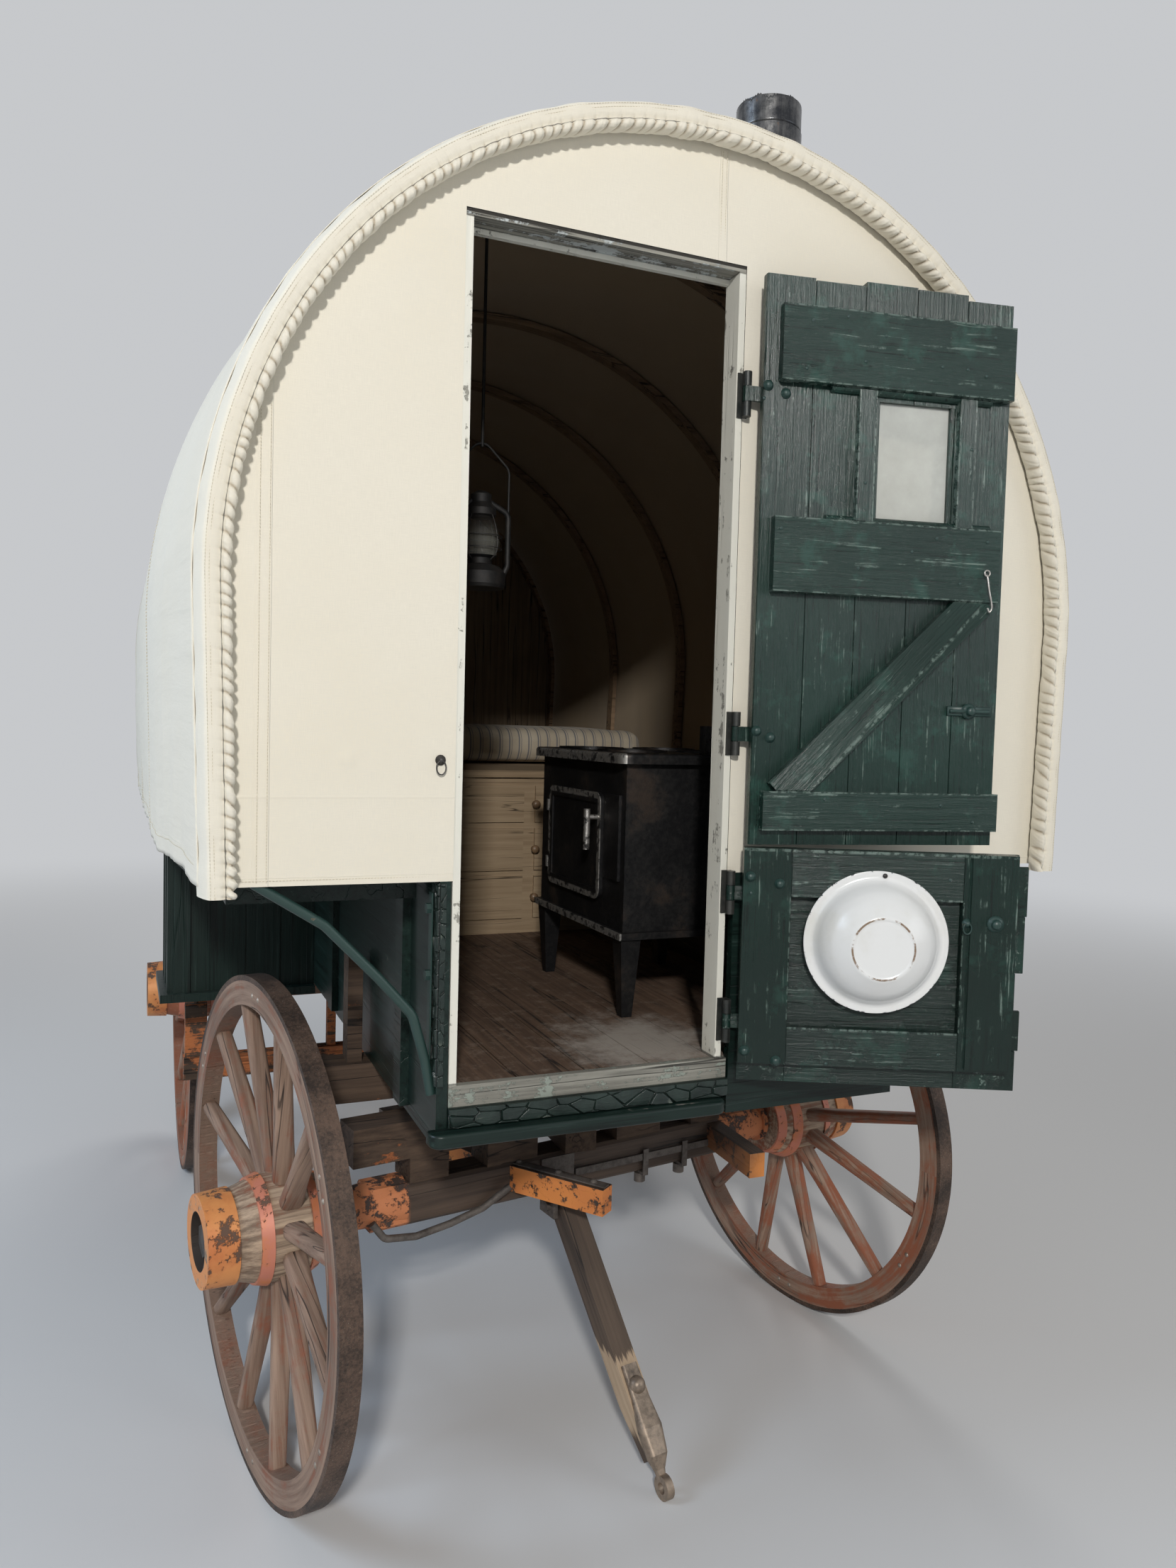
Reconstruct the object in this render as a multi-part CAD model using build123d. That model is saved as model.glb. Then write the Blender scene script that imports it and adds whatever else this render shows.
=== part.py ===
from build123d import *
import os

# A sheep wagon of about 1910: a canvas-topped cabin on a narrow wooden box and a wooden running
# gear. Millimetres, +X to the right seen from the door, +Y to the back, +Z up, floor at z = 0.
# Every piece is drawn with y = 0 at the front wall's face, and FRONT_Y moves the whole wagon so
# that the origin lies on the floor under the middle of its outline.
FRONT_Y = -1550.9

# Lower box, between the wheels
BOX_HALF = 530.0
BOX_LENGTH = 3350.0
BOX_BOTTOM = 882.0
FLOOR_TOP = 1000.0
WING_DECK = 1394.0
BOARD = 22.0
SILL_DEPTH = 93.0
SILL_TOP = BOX_BOTTOM + SILL_DEPTH
INNER_HALF = BOX_HALF - BOARD
LONG_SILL_X = (390.0, 460.0)
CLEAT = 18.0
CLEAT_WIDTH = 60.0
CLEAT_Y = (215.0, 1010.0, 1900.0, 3050.0)
FLOOR_JOINTS = 6

# Wings and side lockers, over and between the wheels
WING_FRONT_X = 950.0
WING_MIDDLE_X = 999.0
WING_BOARD_HEIGHT = 128.0
BOARD_SET_IN = 20.0
RIB_Y = (100.0, 900.0, 1800.0, 2700.0, 3245.0)
RIB_DEPTH = 45.0
LOCKER_Y0 = 1420.0
LOCKER_Y1 = 1735.0
LOCKER_FAR_X = 935.0
LOCKER_BOTTOM = 880.0
LEDGE = 24.0

# Doorstep and the split trim board over it, up to the threshold's white cap
STEP_Z = (893.0, 921.0)
TRIM_TOP = 959.0
STEP_RIGHT = 87.0

# Cabin: upright sides under a half-round roof
HOOP_CENTRE_Z = 1935.0
FRONT_HOOP_R = 973.0
RIM_INNER_R = 912.0
MAIN_HOOP_R = 1022.0
CANVAS = 5.0
RIM_FORWARD = 40.0
HEM_Z = 1400.0
TUCK = 14.0
FLARE_END_Y = 640.0
BACK_TAPER_Y = 2890.0
CABIN_END_Y = 3390.0
BOW_WIDTH = 45.0
BOW_THICK = 18.0
WALL_BOARD = 20.0
WINDOW_HALF = 190.0
WINDOW_Z0 = 1990.0
WINDOW_Z1 = 2370.0
SASH_WIDTH = 50.0
BRACE_R = 9.5
BOW_Y = (660.0, 1320.0, 1980.0, 2640.0)

# Doorway, in the left part of the front wall
DOOR_LEFT = -490.0
DOOR_RIGHT = 72.0
DOOR_TOP = 2622.0
JAMB_FACE = 15.0
JAMB_DEPTH = 55.0
JAMB_FRONT_Y = 3.0
HEADER_TOP = 2651.0

# Stove and stovepipe, right of the doorway
STOVE_X0 = -10.0
STOVE_X1 = 430.0
STOVE_Y0 = 330.0
STOVE_Y1 = 930.0
STOVE_FLOOR = 1190.0
STOVE_TOP = 1632.0
STOVE_PLATE = 25.0
OVEN_Y = (480.0, 830.0)
OVEN_Z = (1265.0, 1530.0)
LID_R = 88.0
PIPE_X = 285.0
PIPE_Y = 265.0
PIPE_R = 76.0
PIPE_FOOT_Z = 1750.0
CRIMP_Z = 3055.0
CRIMP_LENGTH = 60.0

# Bunk across the back, its mattress, and the lantern that hangs from the second bow
BUNK_Y = 1450.0
BUNK_TOP = 1540.0
BUNK_HALF = 880.0
BUNK_END_Y = BOX_LENGTH - 60.0
MATTRESS_HALF = 860.0
MATTRESS_Y = (1960.0, 3240.0)
MATTRESS_DEPTH = 149.0
MATTRESS_EDGE = 55.0
LANTERN_X = -255.0
LANTERN_Y = 682.0
LANTERN_Z = 2030.0
LANTERN_HOOK_Z = 2897.0

# Door leaves, both hung on the right jamb and swung open
HINGE_X = 88.0
HINGE_Y = -14.0
LEAF_GAP = 23.0
LEAF_WIDTH = 550.0
LEAF_OUTER = 12.0
LEAF_BOARD = 22.0
BATTEN = 22.0
UPPER_BOTTOM = 1459.0
UPPER_TOP = 2612.0
LOWER_BOTTOM = 965.0
LOWER_TOP = 1453.0
UPPER_OPEN_DEG = 169.4
LOWER_OPEN_DEG = 154.1
HINGE_PIN_R = 5.0
KNUCKLE_R = 9.0
HINGE_LENGTH = 90.0
UPPER_HINGE_Z = (1640.0, 2330.0)
LOWER_HINGE_Z = (1040.0, 1310.0)
PANE_X = (-448.0, -268.0)
PANE_Z = (2130.0, 2375.0)
RECESS_X = (-468.0, -121.0)
RECESS_Z = (1085.0, 1355.0)
BASIN_X = -295.0
BASIN_Z = 1268.0

# Running gear
KING_Y = 617.0
STEER_DEG = 9.4
FRONT_R = 559.0
FRONT_HALF_TRACK = 797.0
FRONT_SPOKES = 12
REAR_Y = 2430.0
REAR_R = 660.0
REAR_HALF_TRACK = 842.0
REAR_SPOKES = 14
TYRE_WIDTH = 45.0
TYRE_THICK = 12.0
FELLOE_DEPTH = 55.0
DISH = 40.0
SKEIN_R = 32.0
FIT = 0.3

# Heights in the stack of timbers from the axle up to the box
AXLE_BED_TOP = 607.0
REACH_Z = 637.0
REACH_HEIGHT = 50.0
SAND_BOARD_Z0 = 668.0
SAND_BOARD_Z1 = 758.0
PLATE_SPLIT_Z = 774.0
BOLSTER_Z0 = 790.0
REAR_BOLSTER_Z0 = 768.0
REAR_BED_TOP = REAR_R + 48.0
REACH_REAR_Z = (REAR_BED_TOP + REAR_BOLSTER_Z0) / 2
TIMBER_HALF = 45.0
BOLSTER_HALF = 655.0
STAKE_X = (550.0, 585.0)
STAKE_TOP = 1135.0
KING_BOLT_R = 12.7

# Hounds, level timbers let into the front axle
HOUND_Z = 568.0
HOUND_WIDTH = 44.0
HOUND_HEIGHT = 64.0

# Tongue stub, lying with its tip on the floor; u is across the gear and v back from the king bolt
TONGUE_U = -62.0
TONGUE_V = -88.0
TONGUE_PIVOT_Z = 497.0
TONGUE_TIP_V = -535.0
TONGUE_TIP_Z = 26.0
TONGUE_SIZE = 58.0


def block(x0, x1, y0, y1, z0, z1):
    """A box between two corners."""
    size = (abs(x1 - x0), abs(y1 - y0), abs(z1 - z0))
    return Pos((x0 + x1) / 2, (y0 + y1) / 2, (z0 + z1) / 2) * Box(*size)


def tube(x, y, z, radius, length, axis):
    """A cylinder that starts at a point and runs along +X, +Y or +Z."""
    turn = {"x": Rot(0, 90, 0), "y": Rot(-90, 0, 0), "z": Rot(0, 0, 0)}[axis]
    rod = Cylinder(radius, length, align=(Align.CENTER, Align.CENTER, Align.MIN))
    return Pos(x, y, z) * turn * rod


def bent_rod(points, radius, bend):
    """A round rod through points, with one bend radius at every corner."""
    path = FilletPolyline(*points, radius=bend) if len(points) > 2 else Line(*points)
    start = Plane(origin=path @ 0, z_dir=path % 0)
    return sweep(start * Circle(radius), path=path)


def beam(start, end, width, height):
    """A straight timber between two points, its height kept as near upright as it can be."""
    a = Vector(*start)
    b = Vector(*end)
    along = b - a
    level = Vector(0, 0, 1).cross(along)
    plane = Plane(origin=a, x_dir=level, z_dir=along)
    return extrude(plane * Rectangle(width, height), along.length)


def join(pieces):
    """Fuse a list of touching solids into one."""
    whole = pieces[0]
    for piece in pieces[1:]:
        whole = whole + piece
    return whole


def hoop_face(radius, tuck, bottom):
    """The cabin's cross-section: a half circle on two sides that lean in by tuck at the hem."""
    foot = radius - tuck
    with BuildSketch(Plane.XZ) as sketch:
        with BuildLine():
            Line((-foot, bottom), (foot, bottom))
            Line((foot, bottom), (radius, HOOP_CENTRE_Z))
            ThreePointArc((radius, HOOP_CENTRE_Z), (0, HOOP_CENTRE_Z + radius), (-radius, HOOP_CENTRE_Z))
            Line((-radius, HOOP_CENTRE_Z), (-foot, bottom))
        make_face()
    return sketch.sketch


def hoop_slab(radius, y0, y1, bottom, tuck=TUCK):
    """The cabin's cross-section as a slab from y0 to y1."""
    return Pos(0, y1, 0) * extrude(hoop_face(radius, tuck, bottom), y1 - y0)


def hoop_flare(radius0, y0, radius1, y1, bottom):
    """The cabin's section growing from one radius to another along the wagon."""
    first = Pos(0, y0, 0) * hoop_face(radius0, TUCK, bottom)
    second = Pos(0, y1, 0) * hoop_face(radius1, TUCK, bottom)
    return loft([first, second], ruled=True)


def cabin_body(inset, y0, y1):
    """The outer cabin form, set in by a thickness, from y0 to y1."""
    narrow = FRONT_HOOP_R - inset
    wide = MAIN_HOOP_R - inset
    bottom = HEM_Z - 60.0 * (inset > 0)
    flare = hoop_flare(narrow, y0, wide, FLARE_END_Y, bottom)
    barrel = hoop_slab(wide, FLARE_END_Y, BACK_TAPER_Y, bottom)
    tail = hoop_flare(wide, BACK_TAPER_Y, narrow, y1, bottom)
    return flare + barrel + tail


parts = {}

# The floor boards, with their joints as shallow grooves, on the sills
floor = block(-INNER_HALF, INNER_HALF, WALL_BOARD, BOX_LENGTH - BOARD, SILL_TOP, FLOOR_TOP)
for joint in range(1, FLOOR_JOINTS + 1):
    groove_x = -INNER_HALF + joint * 2 * INNER_HALF / (FLOOR_JOINTS + 1)
    floor -= block(groove_x - 1.5, groove_x + 1.5, 0, BOX_LENGTH, FLOOR_TOP - 4, FLOOR_TOP)
parts["box_floor"] = floor

# Long sills and cross sills under the floor; the front one shows right of the doorstep
sills = []
for side in (-1, 1):
    near_x, far_x = (side * x for x in LONG_SILL_X)
    sills.append(block(near_x, far_x, 100, BOX_LENGTH - BOARD, BOX_BOTTOM, SILL_TOP))
cross_sills = (
    # front face y, back face y
    (100.0, 160.0),
    (1240.0, 1310.0),
    (1760.0, 1830.0),
    (BOX_LENGTH - 90.0, BOX_LENGTH - BOARD),
)
for sill_y0, sill_y1 in cross_sills:
    sills.append(block(-INNER_HALF, INNER_HALF, sill_y0, sill_y1, BOX_BOTTOM, SILL_TOP))
beside_step = STEP_RIGHT + 15
boards_z0 = 929.0
sills.append(block(beside_step, INNER_HALF, 0, 100, BOX_BOTTOM, boards_z0))
sills.append(block(beside_step, INNER_HALF, WALL_BOARD, 100, boards_z0, SILL_TOP))
parts["box_sills"] = join(sills)

# The box's side walls, each with upright cleats outside
for side, name in ((-1, "left"), (1, "right")):
    inner = side * INNER_HALF
    wall = block(inner, side * BOX_HALF, 0, BOX_LENGTH, BOX_BOTTOM, WING_DECK)
    for cleat_y in CLEAT_Y:
        wall += block(side * BOX_HALF, side * (BOX_HALF + CLEAT), cleat_y, cleat_y + CLEAT_WIDTH,
                      BOX_BOTTOM + 15, WING_DECK)
    parts["box_side_" + name] = wall

# The front boards right of the doorway, and the back end of the box
parts["box_front"] = block(beside_step + 2, INNER_HALF, 0, WALL_BOARD, boards_z0, WING_DECK)
back_boards = block(-INNER_HALF, INNER_HALF, BOX_LENGTH - BOARD, BOX_LENGTH, BOX_BOTTOM, WING_DECK)
for rib_x in (-330.0, 0.0, 330.0):
    back_boards += block(rib_x - 30, rib_x + 30, BOX_LENGTH, BOX_LENGTH + WALL_BOARD, BOX_BOTTOM, WING_DECK)
parts["box_back"] = back_boards

# The doorstep: a thick plank with a rounded corner, and the split trim board above it
step = block(-548, STEP_RIGHT, -38, 0, *STEP_Z) + block(-INNER_HALF, STEP_RIGHT, 0, 98, *STEP_Z)
step = fillet(step.edges().filter_by(Axis.Z).group_by(Axis.Y)[0], 26)
step = fillet(step.edges().group_by(Axis.Y)[0], 7)
trim = block(-507, beside_step - 1, -4, 60, STEP_Z[1], TRIM_TOP)
parts["doorstep"] = step + trim

# The white door frame: two jambs, a header and the threshold cap
frame_y = JAMB_FRONT_Y + JAMB_DEPTH
door_frame = block(DOOR_LEFT - JAMB_FACE, DOOR_LEFT, JAMB_FRONT_Y, frame_y, FLOOR_TOP, HEADER_TOP)
door_frame += block(DOOR_RIGHT, DOOR_RIGHT + JAMB_FACE, JAMB_FRONT_Y, frame_y, FLOOR_TOP, HEADER_TOP)
door_frame += block(DOOR_LEFT - JAMB_FACE, DOOR_RIGHT + JAMB_FACE, JAMB_FRONT_Y, frame_y, DOOR_TOP, HEADER_TOP)
door_frame += block(DOOR_LEFT - JAMB_FACE, beside_step - 2, JAMB_FRONT_Y, WALL_BOARD, TRIM_TOP, FLOOR_TOP)
door_frame += block(DOOR_LEFT, DOOR_RIGHT, frame_y - 12, frame_y, DOOR_TOP - 12, DOOR_TOP)
parts["door_frame"] = door_frame



def wing_plan(front_x, middle_x):
    """The plan of one wing, from the box side out to an edge that follows the canvas."""
    with BuildSketch() as plan:
        with BuildLine():
            Polyline((INNER_HALF, 8), (front_x, 8), (middle_x, FLARE_END_Y), (middle_x, BACK_TAPER_Y),
                     (front_x, BOX_LENGTH), (INNER_HALF, BOX_LENGTH), close=True)
        make_face()
    return plan.sketch


# Wings: a deck over each pair of wheels, widest amidships, with a board that the bows stand outside
deck = Pos(0, 0, WING_DECK) * extrude(wing_plan(WING_FRONT_X, WING_MIDDLE_X), BOARD)
outer_line = wing_plan(WING_FRONT_X - BOARD_SET_IN, WING_MIDDLE_X - BOARD_SET_IN)
inner_line = wing_plan(WING_FRONT_X - BOARD_SET_IN - BOARD, WING_MIDDLE_X - BOARD_SET_IN - BOARD)
wing = deck + Pos(0, 0, WING_DECK + BOARD) * extrude(outer_line - inner_line, WING_BOARD_HEIGHT)
for rib_y in RIB_Y:
    wing += block(BOX_HALF + CLEAT + 2, 905, rib_y, rib_y + 50, WING_DECK - RIB_DEPTH, WING_DECK)
parts["wing_right"] = wing
parts["wing_left"] = mirror(wing, about=Plane.YZ)

# Side lockers under the wings, between the wheels, with corner battens and a base ledge
batten_top = WING_DECK - 50
for side, name in ((-1, "left"), (1, "right")):
    near = side * BOX_HALF
    far = side * LOCKER_FAR_X
    locker = block(near, far, LOCKER_Y0, LOCKER_Y1, LOCKER_BOTTOM, WING_DECK)
    for batten_y in (LOCKER_Y0, (LOCKER_Y0 + LOCKER_Y1) / 2 - 20, LOCKER_Y1 - 40):
        locker += block(far, far + side * CLEAT, batten_y, batten_y + 40, LOCKER_BOTTOM, batten_top)
    locker += block(far, far - side * 45, LOCKER_Y0 - 14, LOCKER_Y0, LOCKER_BOTTOM, batten_top)
    locker += block(near, far + side * 38, LOCKER_Y0 - 28, LOCKER_Y1, LOCKER_BOTTOM - LEDGE, LOCKER_BOTTOM)
    for seam in range(1, 4):
        seam_x = near + (far - near) * seam / 4
        locker -= block(seam_x - 2, seam_x + 2, LOCKER_Y0, LOCKER_Y0 + 4, LOCKER_BOTTOM, WING_DECK)
    parts["locker_" + name] = locker

# Front wall: one taut canvas panel inside the front hoop, cut out for the door
front_panel = hoop_slab(FRONT_HOOP_R - CANVAS - 1, 4, 8, WING_DECK)
front_panel -= block(DOOR_LEFT - JAMB_FACE, DOOR_RIGHT + JAMB_FACE, 0, 20, FLOOR_TOP, HEADER_TOP)
parts["front_wall"] = front_panel

# Back wall: tongue-and-groove boards with a window over the bunk
bar_half = 12.0
wall_face = BOX_LENGTH + WALL_BOARD
casing_face = wall_face + 16
glass_z = (WINDOW_Z0 + WINDOW_Z1) / 2
back_wall = hoop_slab(FRONT_HOOP_R - CANVAS - 1, BOX_LENGTH, wall_face, WING_DECK)
window_hole = block(-WINDOW_HALF, WINDOW_HALF, BOX_LENGTH - 5, casing_face + 5, WINDOW_Z0, WINDOW_Z1)
casing = block(-WINDOW_HALF - SASH_WIDTH, WINDOW_HALF + SASH_WIDTH, wall_face, casing_face,
               WINDOW_Z0 - SASH_WIDTH, WINDOW_Z1 + SASH_WIDTH)
back_wall = back_wall + casing - window_hole
back_wall += block(-bar_half, bar_half, BOX_LENGTH + 2, wall_face - 2, WINDOW_Z0, WINDOW_Z1)
back_wall += block(-WINDOW_HALF, WINDOW_HALF, BOX_LENGTH + 2, wall_face - 2,
                   glass_z - bar_half, glass_z + bar_half)
parts["back_wall"] = back_wall
panes = []
for x0, x1 in ((-WINDOW_HALF, -bar_half), (bar_half, WINDOW_HALF)):
    for z0, z1 in ((WINDOW_Z0, glass_z - bar_half), (glass_z + bar_half, WINDOW_Z1)):
        panes.append(block(x0, x1, BOX_LENGTH + 8, BOX_LENGTH + 11, z0, z1))
parts["back_glass"] = Compound(children=panes)


def bow(radius, y0):
    """One bow of the given outer radius, its feet on the wing decks."""
    foot = WING_DECK + BOARD
    ring = hoop_slab(radius, y0, y0 + BOW_WIDTH, foot)
    ring -= hoop_slab(radius - BOW_THICK, y0 - 5, y0 + BOW_WIDTH + 5, foot - 10)
    return ring


# Bows: steamed wooden hoops that stand on the wings inside the canvas
bows = [bow(FRONT_HOOP_R - CANVAS - 1, 8)]
for bow_y in BOW_Y:
    bows.append(bow(MAIN_HOOP_R - CANVAS - 1, bow_y))
bows.append(bow(FRONT_HOOP_R - CANVAS - 1, BOX_LENGTH - BOW_WIDTH))
parts["bows"] = Compound(children=bows)

# Canvas top: one shell over the bows, with a thick hem that stands forward of the front wall
canvas = cabin_body(0, 0, CABIN_END_Y) - cabin_body(CANVAS, -1, CABIN_END_Y + 1)
rim = hoop_slab(FRONT_HOOP_R, -RIM_FORWARD, 0.5, 1374)
rim -= hoop_slab(RIM_INNER_R, -RIM_FORWARD - 5, 2, 1340)
back_rim = hoop_slab(FRONT_HOOP_R, CABIN_END_Y - 2, CABIN_END_Y + 12, HEM_Z)
back_rim -= hoop_slab(FRONT_HOOP_R - 60, CABIN_END_Y - 10, CABIN_END_Y + 20, 1340)
canvas = canvas + rim + back_rim
canvas -= tube(PIPE_X, PIPE_Y, 2500, PIPE_R + 6, 900, "z")
parts["canvas_top"] = canvas

# Curved iron braces from the box's lower corners out to the wings
brace_points = (
    # x, z along the rod
    (536, 985),
    (548, 1050),
    (574, 1140),
    (640, 1215),
    (740, 1318),
    (866, 1398),
)
braces = []
for brace_y in (18.0, BOX_LENGTH - 30):
    rod = bent_rod([(x, brace_y, z) for x, z in brace_points], BRACE_R, 45)
    rod -= block(0, BOX_HALF, brace_y - 20, brace_y + 20, 900, 1100)
    rod -= block(600, 1000, brace_y - 20, brace_y + 20, WING_DECK, WING_DECK + 60)
    braces += [rod, mirror(rod, about=Plane.YZ)]
parts["wing_braces"] = Compound(children=braces)

# The stove, on four splayed sheet legs at the right of the doorway: a body between a base plate and
# a thick top with four lids, and an oven door with a raised frame, pins and a handle on the aisle
stove = block(STOVE_X0 + 25, STOVE_X1 - 25, STOVE_Y0 + 25, STOVE_Y1 - 25,
              STOVE_FLOOR + 15, STOVE_TOP - STOVE_PLATE)
top_plate = block(STOVE_X0, STOVE_X1, STOVE_Y0, STOVE_Y1, STOVE_TOP - STOVE_PLATE, STOVE_TOP)
top_plate = fillet(top_plate.edges().filter_by(Axis.Z), 30)
stove += fillet(top_plate.edges().group_by(Axis.Z)[-1], 9)
stove += block(STOVE_X0 + 10, STOVE_X1 - 10, STOVE_Y0 + 10, STOVE_Y1 - 10, STOVE_FLOOR, STOVE_FLOOR + 16)
for lid_x in (100.0, 320.0):
    for lid_y in (510.0, 770.0):
        stove += tube(lid_x, lid_y, STOVE_TOP - 5, LID_R, 10, "z")
        stove -= tube(lid_x, lid_y, STOVE_TOP + 2, LID_R - 12, 10, "z")
oven = block(STOVE_X0 + 13, STOVE_X0 + 25, *OVEN_Y, *OVEN_Z)
oven = fillet(oven.edges().filter_by(Axis.X), 28)
oven_panel = block(STOVE_X0 + 10, STOVE_X0 + 17, OVEN_Y[0] + 26, OVEN_Y[1] - 26, OVEN_Z[0] + 26, OVEN_Z[1] - 26)
stove += oven - oven_panel
for pin_z in (OVEN_Z[0] + 40, OVEN_Z[1] - 70):
    stove += tube(STOVE_X0 + 17, OVEN_Y[1] + 4, pin_z, 8, 30, "z")
handle_y = OVEN_Y[0] + 13
stove += tube(STOVE_X0 - 16, handle_y, OVEN_Z[1] - 60, 6, 32, "x")
stove += tube(STOVE_X0 - 16, handle_y, OVEN_Z[1] - 140, 8, 100, "z")
stove += block(STOVE_X0 + 18, STOVE_X0 + 25, STOVE_Y0 + 50, OVEN_Y[0] - 15, OVEN_Z[0] + 60, OVEN_Z[1])
for leg_x in (STOVE_X0 + 45, STOVE_X1 - 45):
    for leg_y in (STOVE_Y0 + 45, STOVE_Y1 - 45):
        foot = Plane(origin=(leg_x, leg_y, FLOOR_TOP)) * Rectangle(26, 26)
        head = Plane(origin=(leg_x, leg_y, STOVE_FLOOR + 1)) * Rectangle(52, 52)
        stove += loft([foot, head])
parts["stove"] = stove

# The stovepipe, from the stove through the roof, with a crimped upper end for the next length
pipe = tube(PIPE_X, PIPE_Y, PIPE_FOOT_Z, PIPE_R, CRIMP_Z - PIPE_FOOT_Z, "z")
pipe += tube(PIPE_X, PIPE_Y, CRIMP_Z, PIPE_R - 2, CRIMP_LENGTH, "z")
pipe -= tube(PIPE_X, PIPE_Y, PIPE_FOOT_Z - 10, PIPE_R - 4, CRIMP_Z + CRIMP_LENGTH, "z")
elbow = tube(PIPE_X, PIPE_Y, PIPE_FOOT_Z - 60, PIPE_R, 60, "z")
elbow += block(PIPE_X - 60, PIPE_X + 60, PIPE_Y, STOVE_Y0 + 60, STOVE_TOP, PIPE_FOOT_Z - 50)
collar = tube(PIPE_X, PIPE_Y, PIPE_FOOT_Z, PIPE_R + 4, 30, "z")
collar -= tube(PIPE_X, PIPE_Y, PIPE_FOOT_Z - 5, PIPE_R - 1, 60, "z")
parts["stovepipe"] = pipe + elbow + collar

# The bunk across the back, its front with three rows of drawers, and the mattress on it
bunk = block(-505, 505, BUNK_Y, BUNK_Y + BOARD, FLOOR_TOP, BUNK_TOP - BOARD)
bunk += block(-BUNK_HALF, BUNK_HALF, BUNK_Y - 12, BUNK_END_Y, BUNK_TOP - BOARD, BUNK_TOP)
for side in (-1, 1):
    inside = side * (BUNK_HALF - BOARD)
    bunk += block(inside, side * BUNK_HALF, BUNK_Y, BUNK_END_Y, WING_DECK + BOARD, BUNK_TOP - BOARD)
drawer_width = 290.0
drawer_rows = (
    # low z, high z
    (1050.0, 1190.0),
    (1210.0, 1350.0),
    (1370.0, 1490.0),
)
for low, high in drawer_rows:
    for drawer_x in (-470.0, -140.0, 190.0):
        bunk += block(drawer_x, drawer_x + drawer_width, BUNK_Y - 8, BUNK_Y, low, high)
parts["bunk"] = bunk
mattress = block(-MATTRESS_HALF, MATTRESS_HALF, *MATTRESS_Y, BUNK_TOP + 1, BUNK_TOP + 1 + MATTRESS_DEPTH)
parts["mattress"] = fillet(mattress.edges(), MATTRESS_EDGE)

# The hurricane lantern: a turned tank, burner, globe and hood in one, two side tubes that carry the
# hood, and a wire bail on a long hanger
lantern_profile = (
    # radius, height over the tank's foot
    (60.0, 0.0),
    (64.0, 8.0),
    (64.0, 38.0),
    (50.0, 54.0),
    (30.0, 60.0),
    (30.0, 74.0),
    (40.0, 80.0),
    (49.0, 112.0),
    (44.0, 146.0),
    (31.0, 176.0),
    (38.0, 180.0),
    (38.0, 196.0),
    (26.0, 212.0),
    (26.0, 232.0),
    (12.0, 240.0),
)
with BuildSketch(Plane.XZ) as lantern_section:
    with BuildLine():
        Polyline((0, 0), *lantern_profile, (0, 240), close=True)
    make_face()
lantern = Pos(LANTERN_X, LANTERN_Y, LANTERN_Z) * revolve(lantern_section.sketch, Axis.Z)
tube_route = (
    # distance from the middle, height over the tank's foot
    (58.0, 30.0),
    (72.0, 60.0),
    (72.0, 190.0),
    (10.0, 222.0),
)
for side in (-1, 1):
    route = [(LANTERN_X + side * x, LANTERN_Y, LANTERN_Z + z) for x, z in tube_route]
    lantern += bent_rod(route, 7, 22)
bail_route = (
    # distance from the middle, height over the tank's foot
    (-72.0, 185.0),
    (-72.0, 300.0),
    (0.0, 370.0),
    (72.0, 300.0),
    (72.0, 185.0),
)
bail = bent_rod([(LANTERN_X + x, LANTERN_Y, LANTERN_Z + z) for x, z in bail_route], 3, 30)
hanger_z = LANTERN_Z + 350
parts["lantern"] = lantern + bail + tube(LANTERN_X, LANTERN_Y, hanger_z, 4, LANTERN_HOOK_Z - hanger_z, "z")

# Bolsters: the timbers that the box rests on, with stakes that hold its sides
for name, bolster_y, bolster_z0 in (("front", KING_Y, BOLSTER_Z0), ("rear", REAR_Y, REAR_BOLSTER_Z0)):
    front_face = bolster_y - TIMBER_HALF
    back_face = bolster_y + TIMBER_HALF
    bolster = block(-BOLSTER_HALF, BOLSTER_HALF, front_face, back_face, bolster_z0, BOX_BOTTOM)
    for side in (-1, 1):
        near_x, far_x = (side * x for x in STAKE_X)
        bolster += block(near_x, far_x, bolster_y - 28, bolster_y + 28, BOX_BOTTOM - 10, STAKE_TOP)
    if name == "front":
        bolster -= tube(0, bolster_y, 700, KING_BOLT_R + FIT, 300, "z")
    else:
        for low_x, high_x in ((-480, -380), (-200, -100), (100, 200), (380, 480)):
            bolster += block(low_x, high_x, front_face, back_face, REAR_BED_TOP, bolster_z0)
    parts[name + "_bolster"] = bolster


def gear(shape):
    """Place a piece drawn about the king bolt (x across, y back) at the steered angle."""
    return Pos(0, KING_Y, 0) * Rot(0, 0, STEER_DEG) * shape


def axle(half_track, centre_z, bed_half):
    """A wooden axle bed with an iron thimble skein and nut at each end, across the wagon."""
    whole = block(-bed_half, bed_half, -46, 46, centre_z - 52, centre_z + 48)
    whole = chamfer(whole.edges().filter_by(Axis.X), 9)
    for side in (-1, 1):
        shoulder = half_track - 158
        cone = Solid.make_cone(58, 46, shoulder - bed_half + 90)
        cone = Pos(side * (bed_half - 90), 0, centre_z) * Rot(0, side * 90, 0) * cone
        arm = Pos(side * (shoulder - 6), 0, centre_z) * Rot(0, side * 90, 0) * Cylinder(
            SKEIN_R, 262, align=(Align.CENTER, Align.CENTER, Align.MIN))
        collar_ring = Pos(side * (shoulder - 7), 0, centre_z) * Rot(0, 90, 0) * Cylinder(56, 14)
        nut = Pos(side * (half_track + 98), 0, centre_z) * Rot(0, side * 90, 0) * extrude(
            RegularPolygon(38, 6), 32)
        whole = whole + cone + collar_ring + arm + nut
    return whole


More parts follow.
